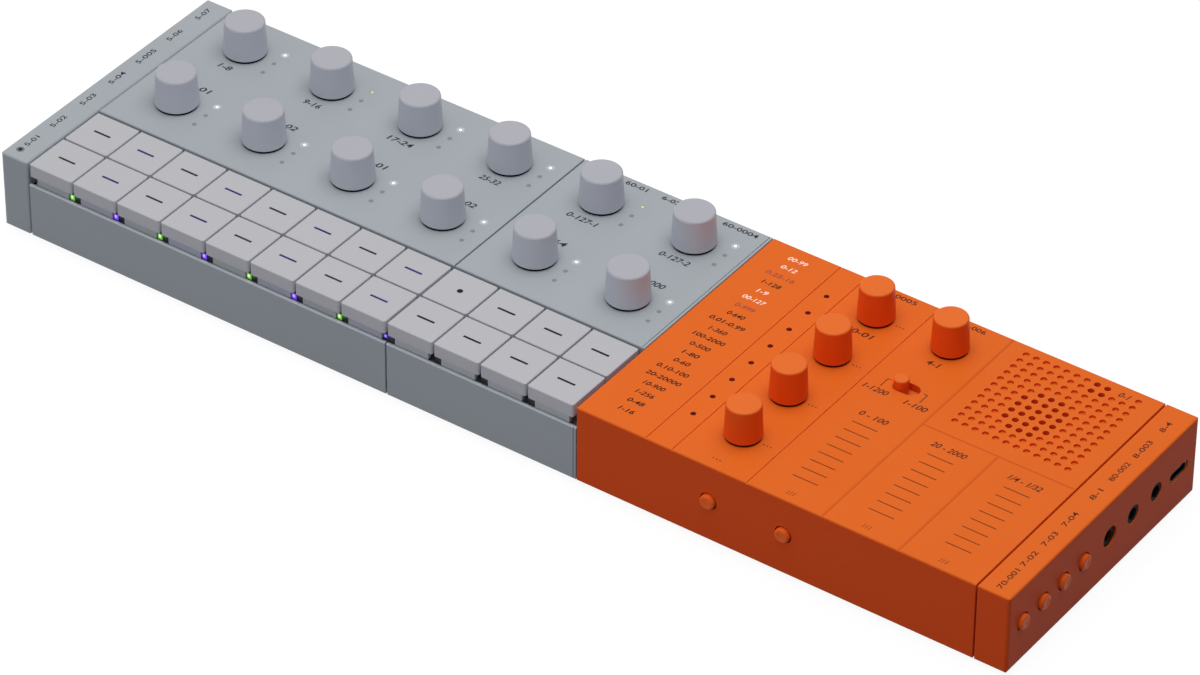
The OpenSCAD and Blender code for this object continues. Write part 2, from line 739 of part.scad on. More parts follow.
module fx_housing() color(orange) in_case() {
    ring = speaker_diameter + 2 * fit;
    difference() {
        union() {
            section_block(fx_left, fx_right, seam_radius, seam_radius) plain_section();
            fx_ribs();
            translate([fx_left, wall / 2, mat_top + fit])
                cube([wall, case_depth - wall, ceiling - mat_top - fit + eps]);
            translate([speaker_centre[0], speaker_centre[1], ceiling - 2.5])
                difference() {
                    cylinder(d = ring + 2.4, h = 2.5 + eps);
                    translate([0, 0, -1]) cylinder(d = ring, h = 3.5);
                }
            for (place = fx_bosses) boss(place, ceiling + eps);
        }
        fx_grooves();
        grille();
        for (y = fx_knob_rows)
            translate([strip_middle(0), y, ceiling - 1])
                cylinder(d = bushing_diameter + 0.4, h = panel_thickness + 2);
        translate([strip_middle(1), fx_knob_rows[3], ceiling - 1])
            cylinder(d = bushing_diameter + 0.4, h = panel_thickness + 2);
        for (i = [0:fx_indicator_count - 1])
            translate([fx_indicator_column, fx_knob_front + i * fx_indicator_pitch, ceiling - 1])
                cylinder(d = fx_indicator_hole, h = panel_thickness + 2);
        translate([slide_centre[0], slide_centre[1], ceiling - 1])
            linear_extrude(panel_thickness + 2) stadium(slot_length, slot_width);
        for (x = fx_face_buttons) {
            translate([x, -1, button_height]) rotate([-90, 0, 0])
                cylinder(d = button_hole, h = wall + 2);
            rear_hole(x);
        }
        for (place = fx_bosses) pilot(place);
    }
}

module bottom_cover() color(grey) in_case() {
    inset = wall + cover_gap;
    tray = [battery_width, battery_depth] + 2 * (fit + tray_wall) * [1, 1];
    rib_rows = [cover_rib_inset, case_depth - cover_rib_inset];
    difference() {
        union() {
            translate([inset, inset, 0])
                cube([case_length - 2 * inset, case_depth - 2 * inset, floor_thickness]);
            translate([battery_corner[0] - fit - tray_wall, battery_corner[1] - fit - tray_wall,
                floor_thickness - eps]) difference() {
                cube([tray[0], tray[1], tray_height]);
                translate([tray_wall, tray_wall, -1])
                    cube([tray[0] - 2 * tray_wall, tray[1] - 2 * tray_wall, tray_height + 2]);
                for (x = [tray[0] / 3, 2 * tray[0] / 3])
                    translate([x - tray_notch[0] / 2, -1, tray_height - tray_notch[1]])
                        cube([tray_notch[0], tray[1] + 2, tray_notch[1] + 1]);
            }
            for (y = rib_rows)
                translate([drum_left + cover_rib_inset, y - rib_width / 2, floor_thickness - eps])
                    cube([right_cap_left - drum_left - 2 * cover_rib_inset, rib_width,
                        cover_rib_height]);
            for (x = cover_ribs)
                translate([x - rib_width / 2, rib_rows[0], floor_thickness - eps])
                    cube([rib_width, rib_rows[1] - rib_rows[0], cover_rib_height]);
            for (place = board_posts)
                translate([place[0], place[1], floor_thickness - eps])
                    cylinder(d = post_diameter, h = board_bottom - floor_thickness + eps);
        }
        for (place = concat(housing_bosses, cap_bosses)) translate([place[0], place[1], -1]) {
            cylinder(d = screw_hole, h = floor_thickness + 2);
            cylinder(d = screw_head, h = screw_sink + 1);
        }
        for (place = foot_places) translate([place[0], place[1], -1])
            cylinder(d = foot_diameter + 2 * seat, h = foot_sink + 1);
    }
}

module rubber_feet() color(rubber) in_case() {
    for (place = foot_places) translate([place[0], place[1], -foot_height])
        rotate_extrude() polygon([
            [0, 0], [foot_diameter / 2 - foot_bevel, 0], [foot_diameter / 2, foot_bevel],
            [foot_diameter / 2, foot_height + foot_sink], [0, foot_height + foot_sink]]);
}

// Keys

module key(left, column, row) {
    translate([left + key_margin + column * key_pitch, key_setback + row * key_pitch, 0]) {
        centre = key_size / 2;
        inside = key_size - 2 * key_wall;
        difference() {
            intersection() {
                translate([0, 0, key_block_bottom]) linear_extrude(key_block_height)
                    rounded_square([key_size, key_size], key_corner);
                along_case(0, key_size) translate([0, key_block_bottom - 2])
                    rounded_square([key_size, key_block_height + 2], key_edge);
                translate([0, key_size, key_block_bottom - 2]) rotate([90, 0, 0])
                    linear_extrude(key_size)
                        rounded_square([key_size, key_block_height + 2], key_edge);
            }
            translate([key_wall, key_wall, key_block_bottom - 1])
                cube([inside, inside, key_block_height - key_wall + 1]);
        }
        translate([key_window, key_skirt_setback, key_skirt_bottom])
            cube([key_size - 2 * key_window, key_wall,
                case_height - key_wall - key_skirt_bottom + eps]);
        translate([centre, centre, plunger_bottom])
            cylinder(d = plunger_diameter, h = case_height - key_wall - plunger_bottom + eps);
        for (side = [-1, 1]) {
            translate([centre + side * key_size / 3, centre + key_size / 4, plunger_bottom])
                cylinder(d = guide_pin_diameter,
                    h = case_height - key_wall - plunger_bottom + eps);
            translate([centre + side * (inside / 4 + plunger_diameter / 4), centre,
                key_block_bottom + 1 + key_block_height / 2 - key_wall / 2])
                cube([inside / 2 - plunger_diameter / 2 + 0.4, 1,
                    key_block_height - key_wall - 2 + 2 * eps], center = true);
        }
    }
}

module drum_key(i) color(key_grey) in_case()
    key(drum_left, i % drum_columns, floor(i / drum_columns));

module synth_key(i) color(key_grey) in_case()
    key(synth_left, i % synth_columns, floor(i / synth_columns));

module key_mat() color("dimgray") in_case() {
    back = riser_back - 3;
    difference() {
        union() {
            translate([drum_left + 1, board_edge + 0.1, board_top])
                cube([synth_right - drum_left - 2, back - board_edge, mat_thickness]);
            key_places(drum_left, drum_columns) key_pad();
            key_places(synth_left, synth_columns) key_pad();
        }
        for (place = concat(drum_deck_bosses, synth_deck_bosses))
            translate([place[0], place[1], board_top - 1])
                cylinder(d = boss_diameter + 2 * fit, h = mat_thickness + 2);
        for (x = guide_columns)
            translate([x - led_side, board_edge - 1, board_top - 1])
                cube([2 * led_side, guide_back + 0.6 - board_edge + 1, mat_thickness + 2]);
    }
}

module key_pad() {
    translate([key_size / 2, key_size / 2, mat_top - eps])
        cylinder(d = plunger_diameter - 0.8, h = pad_top - mat_top + eps);
}

// Knobs

module knob_body(diameter, top_diameter) {
    r = diameter / 2;
    rt = top_diameter / 2;
    foot = case_height + knob_gap;
    hub = shaft_diameter / 2 + hub_wall;
    difference() {
        translate([0, 0, foot]) rotate_extrude() {
            polygon([[0, 0], [r - foot_chamfer, 0], [r, foot_chamfer],
                [rt, knob_height - knob_edge], [rt - knob_edge, knob_height], [0, knob_height]]);
            translate([rt - knob_edge, knob_height - knob_edge]) circle(knob_edge);
        }
        translate([0, 0, foot - 1]) difference() {
            cylinder(r = rt - knob_wall, h = knob_height - knob_roof + 1);
            cylinder(r = hub, h = knob_height);
        }
        translate([0, 0, foot - 1])
            d_bar(shaft_diameter + 2 * seat, shaft_flat + 2 * seat, shaft_top + 2 * seat - foot + 1);
    }
}

// Round bar with a flat, measured from its round side
module d_bar(diameter, height, length) {
    intersection() {
        cylinder(d = diameter, h = length);
        translate([-diameter, -diameter / 2, -1]) cube([2 * diameter, height, length + 2]);
    }
}

module encoder_shaft() {
    translate([0, 0, shaft_bottom])
        cylinder(d = shaft_diameter, h = bushing_top + 0.1 - shaft_bottom);
    translate([0, 0, bushing_top]) d_bar(shaft_diameter, shaft_flat, shaft_top - bushing_top);
}

module knob(x, y, diameter, top_diameter) {
    translate([x, y, 0]) {
        knob_body(diameter, top_diameter);
        encoder_shaft();
    }
}

module drum_knob(i) color(knob_grey) in_case()
    knob(knob_column(drum_left, i % 4), knob_rows[floor(i / 4)], knob_diameter,
        knob_top_diameter);

module synth_knob(i) color(knob_grey) in_case()
    knob(knob_column(synth_left, i % 2), knob_rows[floor(i / 2)], knob_diameter,
        knob_top_diameter);

module sound_knob(i) color(orange) in_case()
    knob(strip_middle(0), fx_knob_rows[i], fx_knob_diameter, fx_knob_top_diameter);

module fx_knob() color(orange) in_case()
    knob(strip_middle(1), fx_knob_rows[3], fx_knob_diameter, fx_knob_top_diameter);

// Slide switch: a pin on a flat carrier that stays under the slot's whole length
module slide_switch() color(orange) in_case() {
    r = slide_pin_diameter / 2;
    carrier_bottom = ceiling - fit - slide_carrier[2];
    height = case_height + slide_pin_height - carrier_bottom;
    translate([slide_start, slide_centre[1], carrier_bottom]) {
        rotate_extrude() {
            polygon([[0, 0], [r, 0], [r, height - slide_edge], [r - slide_edge, height],
                [0, height]]);
            translate([r - slide_edge, height - slide_edge]) circle(slide_edge);
        }
        linear_extrude(slide_carrier[2]) square([slide_carrier[0], slide_carrier[1]], center = true);
        translate([-slide_drive / 2, -slide_drive / 2, -slide_drive])
            cube([slide_drive, slide_drive, slide_drive + eps]);
    }
}

// Side buttons: round caps with flanges on one thin moulded comb, drawn along X from the front
module button_comb(places, stand) {
    r = button_diameter / 2;
    first = places[0];
    last = places[len(places) - 1];
    reach = wall + comb_seat + comb_flange_depth;
    flat = r - button_edge;
    dish_radius = (flat * flat + button_dish * button_dish) / (2 * button_dish);
    for (x = places) translate([x, 0, button_height]) {
        translate([0, -stand, 0]) rotate([-90, 0, 0]) difference() {
            rotate_extrude() {
                polygon([[0, 0], [flat, 0], [r, button_edge], [r, stand + reach],
                    [0, stand + reach]]);
                translate([flat, button_edge]) circle(button_edge);
            }
            translate([0, 0, button_dish - dish_radius]) sphere(dish_radius);
        }
        translate([0, reach - comb_flange_depth, 0]) rotate([-90, 0, 0])
            cylinder(d = comb_flange, h = comb_flange_depth);
        translate([-comb_flange / 2, reach - eps, -comb_bar_height / 2])
            cube([comb_flange, comb_bar_depth + eps, comb_bar_height]);
    }
    translate([first, reach, button_height - comb_web_height / 2])
        cube([last - first, comb_bar_depth, comb_web_height]);
}

module left_buttons() color(key_grey) in_case()
    mirror([1, -1, 0]) button_comb(left_buttons, end_button_stand);

module right_buttons() color(orange) in_case()
    translate([case_length, 0, 0]) rotate([0, 0, 90]) button_comb(right_buttons, end_button_stand);

module front_buttons() color(orange) in_case() button_comb(fx_face_buttons, face_button_stand);

module rear_grey_buttons() color(key_grey) in_case()
    translate([0, case_depth, 0]) mirror([0, 1, 0])
        button_comb(rear_grey_buttons, face_button_stand);

module rear_orange_buttons() color(orange) in_case()
    translate([0, case_depth, 0]) mirror([0, 1, 0])
        button_comb(fx_face_buttons, face_button_stand);

// Inside

module encoder() {
    difference() {
        union() {
            translate([-encoder_side / 2, -encoder_side / 2, board_top + seat])
                cube([encoder_side, encoder_side, encoder_height]);
            translate([0, 0, board_top])
                cylinder(d = bushing_diameter, h = bushing_top - board_top);
        }
        translate([-encoder_side, -encoder_side, board_top - 1])
            cube([2 * encoder_side, 2 * encoder_side, 1 + seat]);
        translate([0, 0, shaft_bottom - 0.2])
            cylinder(d = shaft_diameter + 2 * shaft_clearance, h = bushing_top);
    }
}

// Side-pushed switches behind the buttons of one comb
module side_switches(places) {
    nub_front = comb_back + button_travel + nub_gap;
    for (x = places) translate([x, 0, board_top + seat]) {
        translate([-switch_body[0] / 2, board_edge - fit, 0])
            cube([switch_body[0], switch_body[1], switch_height]);
        translate([-nub[0] / 2, nub_front, nub_lift])
            cube([nub[0], board_edge - nub_front, nub[1]]);
    }
}

module led(x, y) {
    translate([x - led_side / 2, y - led_side / 2, board_top + seat])
        cube([led_side, led_side, led_height]);
}

module board_outline() {
    difference() {
        union() {
            translate([board_edge, board_edge])
                square([case_length - 2 * board_edge, case_depth - 2 * board_edge]);
            translate([board_ear_left, board_edge])
                square([case_length - board_edge - board_ear_left, board_ear_back - board_edge]);
        }
        for (place = concat(housing_bosses, cap_bosses))
            translate(place) circle(d = boss_tip_diameter + 2 * fit);
        translate(speaker_centre) circle(d = speaker_diameter + 1.5);
        for (i = [0:2])
            translate([jack_back(i) - fit, jack_rows[i] - jack_body_width / 2 - fit])
                square([case_length, jack_body_width + 2 * fit]);
        translate([case_length - usb_length - 2 * fit, usb_row - usb_width / 2 - fit])
            square([usb_length, usb_width + 2 * fit]);
    }
}

// Chips under the board: x, y, length, depth, height
chips = [
    [synth_left + 8, knob_mid - 7, 14, 14, 1.4],
    [synth_left + 26, knob_mid + 6, 8, 12, 1],
    [synth_left + 40, knob_mid - 12, 7, 7, 0.9],
    [drum_right - 24, knob_mid - 10, 5, 4, 1.2],
    [drum_right - 24, knob_mid + 4, 5, 4, 1.2],
    [fx_left + 12, knob_mid - 20, 6, 5, 1],
    [strip_edge(1) + 6, cross_groove + 6, 5, 5, 0.9]];

module main_board() color("darkgreen") in_case() {
    translate([0, 0, board_bottom]) linear_extrude(board_thickness) board_outline();
    for (y = knob_rows) {
        for (i = [0:3]) translate([knob_column(drum_left, i), y, 0]) encoder();
        for (i = [0:1]) translate([knob_column(synth_left, i), y, 0]) encoder();
    }
    for (y = fx_knob_rows) translate([strip_middle(0), y, 0]) encoder();
    translate([strip_middle(1), fx_knob_rows[3], 0]) encoder();
    mirror([1, -1, 0]) side_switches(left_buttons);
    translate([case_length, 0, 0]) rotate([0, 0, 90]) side_switches(right_buttons);
    side_switches(fx_face_buttons);
    translate([0, case_depth, 0]) mirror([0, 1, 0])
        side_switches(concat(rear_grey_buttons, fx_face_buttons));
    for (x = knob_columns, y = knob_rows, k = [-1:1]) led(x + lens_offset, y + k * lens_spacing);
    for (x = guide_columns) led(x, guide_back - guide_leg / 2);
    for (i = [0:fx_indicator_count - 1])
        led(fx_indicator_column, fx_knob_front + i * fx_indicator_pitch);
    translate([slide_centre[0] - slide_body[0] / 2, slide_centre[1] - slide_body[1] / 2,
        board_top + seat])
        cube([slide_body[0], slide_body[1],
            ceiling - fit - slide_carrier[2] - slide_drive - fit - board_top]);
    for (k = [1:3])
        translate([strip_middle(k) - touch_width / 2, touch_front_inset, ceiling - touch_thickness])
            cube([touch_width, touch_length, touch_thickness - seat]);
    translate([mic_centre[0], mic_centre[1], board_top + seat])
        cylinder(d = mic_diameter, h = ceiling - fit - board_top);
    for (chip = chips)
        translate([chip[0], chip[1], board_bottom - chip[4]])
            cube([chip[2], chip[3], chip[4] + eps]);
}

module indicator_lenses() color("white") in_case() {
    for (x = knob_columns, y = knob_rows) translate([x + lens_offset, y, 0]) {
        for (k = [-1:1]) translate([0, k * lens_spacing, 0]) {
            translate([0, 0, lens_bottom])
                cylinder(d = lens_foot, h = lens_web_top - lens_bottom);
            translate([0, 0, lens_bottom]) cylinder(d = lens_diameter, h = lens_top - lens_bottom);
        }
        translate([-lens_foot / 2, -lens_spacing, lens_web_top - lens_web])
            cube([lens_foot, 2 * lens_spacing, lens_web]);
    }
    for (i = [0:fx_indicator_count - 1])
        translate([fx_indicator_column, fx_knob_front + i * fx_indicator_pitch, lens_bottom])
            cylinder(d = fx_indicator_hole - 2 * lens_clearance,
                h = case_height - 1 - lens_bottom);
    translate([fx_indicator_column - lens_foot / 2, fx_knob_front, lens_web_top - lens_web])
        cube([lens_foot, (fx_indicator_count - 1) * fx_indicator_pitch, lens_web]);
    for (x = guide_columns) {
        translate([x - guide_width / 2, guide_front, deck_top])
            cube([guide_width, guide_back - guide_front, guide_top - deck_top]);
        translate([x - guide_width / 2, guide_back - guide_leg, lens_bottom])
            cube([guide_width, guide_leg, deck_top - lens_bottom + eps]);
    }
}

module battery_pack() color("silver") in_case()
    translate([battery_corner[0], battery_corner[1], floor_thickness])
        linear_extrude(battery_thickness)
            rounded_square([battery_width, battery_depth], 2);

module speaker() color("black") in_case()
    translate([speaker_centre[0], speaker_centre[1], ceiling - gasket]) rotate_extrude() {
        r = speaker_diameter / 2;
        roll = r * 0.07;
        polygon([
            [0, -2], [r * 0.25, -1.6], [r * 0.3, -3], [r * 0.74, -roll], [r, -roll],
            [r, -1.2], [r * 0.9, -1.2], [r * 0.62, -speaker_height * 0.55],
            [r * 0.62, -speaker_height], [0, -speaker_height]]);
        translate([r * 0.92, -roll - 0.1]) square([r * 0.08, roll + 0.1]);
        intersection() {
            translate([r * 0.81, -roll]) circle(roll * 0.95);
            translate([r * 0.7, -roll - 0.1]) square([r * 0.2, roll + 0.1]);
        }
    }

function jack_back(i) = case_length - jack_recess[i] - jack_length - jack_backing;

module jack(i) {
    face = case_length - jack_recess[i];
    difference() {
        union() {
            translate([jack_back(i), jack_rows[i] - jack_body_width / 2,
                jack_height - jack_body_height / 2])
                cube([face - jack_barrel_length + 1 - jack_back(i), jack_body_width,
                    jack_body_height]);
            translate([face - jack_barrel_length, jack_rows[i], jack_height]) rotate([0, 90, 0])
                cylinder(d = jack_barrel, h = jack_barrel_length);
        }
        translate([face - jack_length, jack_rows[i], jack_height]) rotate([0, 90, 0])
            cylinder(d = jack_bore, h = jack_length + 1);
    }
}

module usb_receptacle() {
    back = case_length - usb_recess - usb_length;
    translate([back, usb_row, usb_level]) rotate([90, 0, 90]) {
        difference() {
            linear_extrude(usb_length) stadium(usb_width, usb_height);
            translate([0, 0, 1])
                linear_extrude(usb_length)
                    stadium(usb_width - 2 * usb_shell, usb_height - 2 * usb_shell);
        }
        linear_extrude(usb_length - usb_tongue)
            square([usb_width - 2.4, usb_tongue], center = true);
    }
}

module sockets() color("black") in_case() {
    for (i = [0:2]) jack(i);
    usb_receptacle();
}

for (i = [1:drum_columns * 2])
    drum_key(i - 1);
for (i = [1:synth_columns * 2])
    synth_key(i - 1);
for (i = [1:8])
    drum_knob(i - 1);
for (i = [1:4])
    synth_knob(i - 1);
for (i = [1:4])
    sound_knob(i - 1);
fx_knob();
slide_switch();
left_buttons();
right_buttons();
front_buttons();
rear_grey_buttons();
rear_orange_buttons();
left_end_cap();
drum_housing();
synth_housing();
fx_housing();
right_end_cap();
bottom_cover();
main_board();
key_mat();
indicator_lenses();
battery_pack();
speaker();
sockets();
rubber_feet();
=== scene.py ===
import math

import bmesh
import bpy
from mathutils import Matrix, Vector


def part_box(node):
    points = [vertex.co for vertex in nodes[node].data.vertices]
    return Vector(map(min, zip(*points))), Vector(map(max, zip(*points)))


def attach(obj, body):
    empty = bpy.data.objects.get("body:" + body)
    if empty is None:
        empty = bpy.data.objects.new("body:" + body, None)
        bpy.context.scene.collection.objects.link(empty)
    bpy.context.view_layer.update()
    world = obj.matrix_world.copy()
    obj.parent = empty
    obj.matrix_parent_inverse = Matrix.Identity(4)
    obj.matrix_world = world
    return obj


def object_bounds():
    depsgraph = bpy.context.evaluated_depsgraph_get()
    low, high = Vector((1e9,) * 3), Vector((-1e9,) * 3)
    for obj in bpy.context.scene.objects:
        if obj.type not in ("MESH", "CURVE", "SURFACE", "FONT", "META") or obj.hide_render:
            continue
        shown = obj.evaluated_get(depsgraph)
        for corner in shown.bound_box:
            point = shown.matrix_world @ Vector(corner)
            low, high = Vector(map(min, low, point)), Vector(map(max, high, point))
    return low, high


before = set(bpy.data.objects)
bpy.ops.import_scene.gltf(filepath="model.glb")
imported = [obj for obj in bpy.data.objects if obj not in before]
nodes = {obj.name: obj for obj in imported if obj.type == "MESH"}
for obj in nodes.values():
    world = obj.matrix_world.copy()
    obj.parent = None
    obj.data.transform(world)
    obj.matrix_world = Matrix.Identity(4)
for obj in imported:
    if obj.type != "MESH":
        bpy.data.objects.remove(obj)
cad_low, cad_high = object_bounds()

# Camera: a long lens looks down on the case over its socket end. The view is written as its
# turn round the object, its height above the table, its roll and its distance from a point
# near the middle of the case.
view_turn = math.radians(35.21)
view_height = math.radians(37.44)
view_roll = math.radians(0.38)
view_distance = 1.771
view_target = Vector((-0.0004, 0.0085, 0.0015))
back = Vector((
    math.sin(view_turn) * math.cos(view_height),
    -math.cos(view_turn) * math.cos(view_height),
    math.sin(view_height)))
level = Vector((math.cos(view_turn), math.sin(view_turn), 0))
right = level * math.cos(view_roll) + back.cross(level) * math.sin(view_roll)
camera = bpy.data.objects.new("camera", bpy.data.cameras.new("camera"))
camera.data.lens = 188.6
camera.data.sensor_width = 36
camera.data.clip_end = 20
camera.matrix_world = Matrix.Translation(view_target + back * view_distance) @ Matrix((
    right, back.cross(right), back)).transposed().to_4x4()
bpy.context.collection.objects.link(camera)
bpy.context.scene.camera = camera
bpy.context.scene.view_settings.view_transform = "Standard"

# Table and studio: a plain white table under one wide soft lamp in an even white room, so that
# shadows are soft and short. A black card off to the right, which isn't seen, keeps that end dim.
def shade(red, green, blue):
    """A screen colour, 0 to 255, as the linear colour that a material takes."""
    return [((c / 255 + 0.055) / 1.055) ** 2.4 for c in (red, green, blue)] + [1]


def set_inputs(tree, node, values):
    """Sets a node's inputs, or links those whose value is another node's output."""
    for socket, value in values.items():
        if isinstance(value, bpy.types.NodeSocket):
            tree.links.new(value, node.inputs[socket])
        else:
            node.inputs[socket].default_value = value


def add_node(tree, kind, values=None, **settings):
    """A shader node with its settings and its inputs."""
    node = tree.nodes.new("ShaderNode" + kind)
    for setting, value in settings.items():
        setattr(node, setting, value)
    set_inputs(tree, node, values or {})
    return node


def worked_out(tree, operation, *values):
    """The output of a Math node."""
    return add_node(tree, "Math", dict(enumerate(values)), operation=operation).outputs[0]


def mixed(tree, share, first, second, blend="MIX"):
    """The colour that turns from the first to the second as share goes from 0 to 1."""
    return add_node(tree, "Mix", {"Factor": share, "A": first, "B": second},
        data_type="RGBA", blend_type=blend).outputs["Result"]


def new_finish(name):
    """A new material, with its node tree and its surface shader."""
    finish = bpy.data.materials.new(name)
    finish.use_nodes = True
    return finish, finish.node_tree, finish.node_tree.nodes["Principled BSDF"]


def new_piece(name, shape, finish):
    """A finished bmesh as an object."""
    piece = bpy.data.objects.new(name, bpy.data.meshes.new(name))
    shape.to_mesh(piece.data)
    shape.free()
    piece.data.materials.append(finish)
    bpy.context.collection.objects.link(piece)
    return piece


table_finish, table_tree, table_surface = new_finish("table_white")
light_path = add_node(table_tree, "LightPath").outputs
seen = worked_out(table_tree, "MAXIMUM", light_path["Is Camera Ray"],
    light_path["Is Glossy Ray"])
set_inputs(table_tree, table_surface, {
    "Roughness": 0.9,
    "Specular IOR Level": 0.1,
    "Base Color": mixed(table_tree, seen, (0.2, 0.2, 0.21, 1), (0.1, 0.1, 0.1, 1)),
    "Emission Color": (1, 1, 1, 1),
    "Emission Strength": worked_out(table_tree, "MULTIPLY", seen, 0.93)})
table_reach = 6
table = bmesh.new()
bmesh.ops.create_grid(table, x_segments=1, y_segments=1, size=table_reach)
floor = new_piece("floor", table, table_finish)

room = bpy.data.worlds.new("room")
bpy.context.scene.world = room
room.use_nodes = True
room.node_tree.nodes["Background"].inputs["Color"].default_value = (1, 1, 1, 1)
room.node_tree.nodes["Background"].inputs["Strength"].default_value = 0.6


def soft_lamp(name, place, size, power):
    """A rectangular studio lamp that faces the middle of the table."""
    lamp = bpy.data.objects.new(name, bpy.data.lights.new(name, "AREA"))
    lamp.data.shape = "RECTANGLE"
    lamp.data.size, lamp.data.size_y = size
    lamp.data.energy = power
    lamp.location = place
    lamp.rotation_euler = (-Vector(place)).to_track_quat("-Z", "Y").to_euler()
    bpy.context.collection.objects.link(lamp)


soft_lamp("overhead_lamp", place=(0.08, 0.05, 1), size=(0.8, 0.8), power=6)


def add_block(shape, place, size):
    """A block round a place, size across in X, Y and Z."""
    block = bmesh.ops.create_cube(shape, size=1)["verts"]
    bmesh.ops.scale(shape, vec=size, verts=block)
    bmesh.ops.translate(shape, vec=place, verts=block)


card_place = (0.45, 0.2, 0.25)
card_size = (0.01, 1.2, 0.5)
card_finish, card_tree, card_surface = new_finish("black_card")
set_inputs(card_tree, card_surface, {"Base Color": (0.01, 0.01, 0.01, 1)})
sheet = bmesh.new()
add_block(sheet, card_place, card_size)
card = new_piece("black_card", sheet, card_finish)
card.visible_camera = False

# Bottom cover: one flat grey ABS moulding with fine spark-eroded grain, screwed up into the
# bosses of the housings above it.
MM = 0.001


def ranged(tree, value, start, end, low=0, high=1, curve="LINEAR"):
    """The output that goes from low to high while a value goes from start to end."""
    return add_node(tree, "MapRange", {"Value": value, "From Min": start, "From Max": end,
        "To Min": low, "To Max": high}, interpolation_type=curve).outputs["Result"]


def own_place(tree):
    """The place on a piece, in its own coordinates."""
    return add_node(tree, "TexCoord").outputs["Object"]


def axis_of(tree, vector, axis):
    """One axis of a vector."""
    return add_node(tree, "SeparateXYZ", {0: vector}).outputs[axis]


def noise(tree, scale, detail=2):
    """The outputs of a noise texture on a piece's own coordinates."""
    return add_node(tree, "TexNoise", {"Vector": own_place(tree), "Scale": scale,
        "Detail": detail}).outputs


def moulded_grain():
    """Fine mould grain: pits for the bump, a slow drift of tone, and a painted highlight on
    rounded edges.
    """
    group = bpy.data.node_groups.new("moulded_grain", "ShaderNodeTree")
    pit = group.interface.new_socket("Pit size", in_out="INPUT", socket_type="NodeSocketFloat")
    pit.default_value = 0.3
    for output in ("Height", "Drift", "Edge highlight"):
        group.interface.new_socket(output, in_out="OUTPUT", socket_type="NodeSocketFloat")
    entry = group.nodes.new("NodeGroupInput")
    pits = noise(group, detail=3,
        scale=worked_out(group, "DIVIDE", 1 / MM, entry.outputs["Pit size"]))
    drift = noise(group, scale=45, detail=4)
    # Painted highlight on the edges: where the Bevel's rounded normal turns away from the true
    # one, a mask rises that makes the colour paler.
    rounded = add_node(group, "Bevel", {"Radius": 0.35 * MM}).outputs["Normal"]
    agreement = add_node(group, "VectorMath", {
        0: rounded, 1: add_node(group, "NewGeometry").outputs["Normal"]},
        operation="DOT_PRODUCT").outputs["Value"]
    leave = group.nodes.new("NodeGroupOutput")
    set_inputs(group, leave, {
        "Height": pits["Fac"],
        "Drift": drift["Fac"],
        "Edge highlight": worked_out(group, "MULTIPLY", ranged(group, agreement, 0.995, 0.75),
            drift["Fac"])})
    return group


grain = moulded_grain()


def moulded_plastic(name, colour, worn, edge_highlight, rough=0.5, pit=0.3, depth=0.012, sheen=0.3,
        below=None, level=0, side_shading=None):
    """Moulded plastic that drifts to a slightly worn tone, with a painted highlight on its edges.
    It may take another colour below a level of the piece, and painted light or shade on its side
    faces."""
    finish, tree, surface = new_finish(name)
    texture = add_node(tree, "Group", {"Pit size": pit}, node_tree=grain).outputs
    body = mixed(tree, texture["Drift"], colour, worn)
    # The colour on side faces is painted light or shade, not a second colour of plastic; the
    # colour below a level is painted shade under the key blocks.
    for part, kind, output, start, full in (
            (side_shading, "NewGeometry", "Normal", 0.8, 0.2),
            (below, "TexCoord", "Object", level + 0.05 * MM, level - 0.05 * MM)):
        if part:
            height = axis_of(tree, add_node(tree, kind).outputs[output], "Z")
            body = mixed(tree, ranged(tree, height, start, full), body, part)
    bump = add_node(tree, "Bump", {"Strength": 0.5, "Distance": depth * MM,
        "Height": texture["Height"]})
    set_inputs(tree, surface, {
        "IOR": 1.46,
        "Specular IOR Level": sheen,
        "Base Color": mixed(tree, texture["Edge highlight"], body, edge_highlight),
        "Roughness": ranged(tree, texture["Height"], 0, 1, rough - 0.06, rough + 0.08),
        "Normal": bump.outputs["Normal"]})
    return finish


def dress(names, finish):
    """Gives CAD nodes their finish."""
    for name in names:
        nodes[name].data.materials.clear()
        nodes[name].data.materials.append(finish)


dress(["bottom_cover"], moulded_plastic("cover_grey", shade(112, 116, 120),
    shade(104, 108, 112), shade(140, 144, 148), rough=0.6, pit=0.5, depth=0.02))

# Cover screws: zinc-plated steel pan heads with a cross recess, sunk in the counterbores of
# the bottom cover. Each counterbore's middle is the middle of the ring of corners on its shelf.
screw_head_diameter = 4.4 * MM
screw_head_height = 0.95 * MM
recess_arm = 1.3 * MM
recess_half_width = 0.35 * MM
recess_depth = 0.3 * MM
shelf_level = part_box("bottom_cover")[0].z + 1.2 * MM
shelf_reach = 6 * MM
same_level = 0.02 * MM


def middles(corners, reach):
    """The middles of the rings that the corners form, each ring within reach of its first."""
    rings = []
    for corner in corners:
        near = [ring for ring in rings if (ring[0] - corner).length < reach]
        if near:
            near[0].append(corner)
        else:
            rings.append([corner])
    middle = []
    for ring in rings:
        low = Vector([min(corner[i] for corner in ring) for i in range(3)])
        high = Vector([max(corner[i] for corner in ring) for i in range(3)])
        middle.append((low + high) / 2)
    return middle


def add_screw(shape, place):
    """A pan head that faces down, with a cross recess cut as four shallow slots."""
    head = bmesh.ops.create_uvsphere(shape, u_segments=24, v_segments=12,
        radius=screw_head_diameter / 2)["verts"]
    bmesh.ops.scale(shape, vec=(1, 1, screw_head_height / screw_head_diameter), verts=head)
    for corner in head:
        beside, along = sorted((abs(corner.co.x), abs(corner.co.y)))
        if corner.co.z < 0 and along < recess_arm and beside < recess_half_width:
            corner.co.z += recess_depth
    bmesh.ops.translate(shape, vec=place, verts=head)


def fitted(name, shape, finish, body, smooth=False):
    """A finished bmesh as a piece that rides on a body."""
    bmesh.ops.recalc_face_normals(shape, faces=shape.faces)
    piece = new_piece(name, shape, finish)
    if smooth:
        piece.data.shade_smooth()
    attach(piece, body)


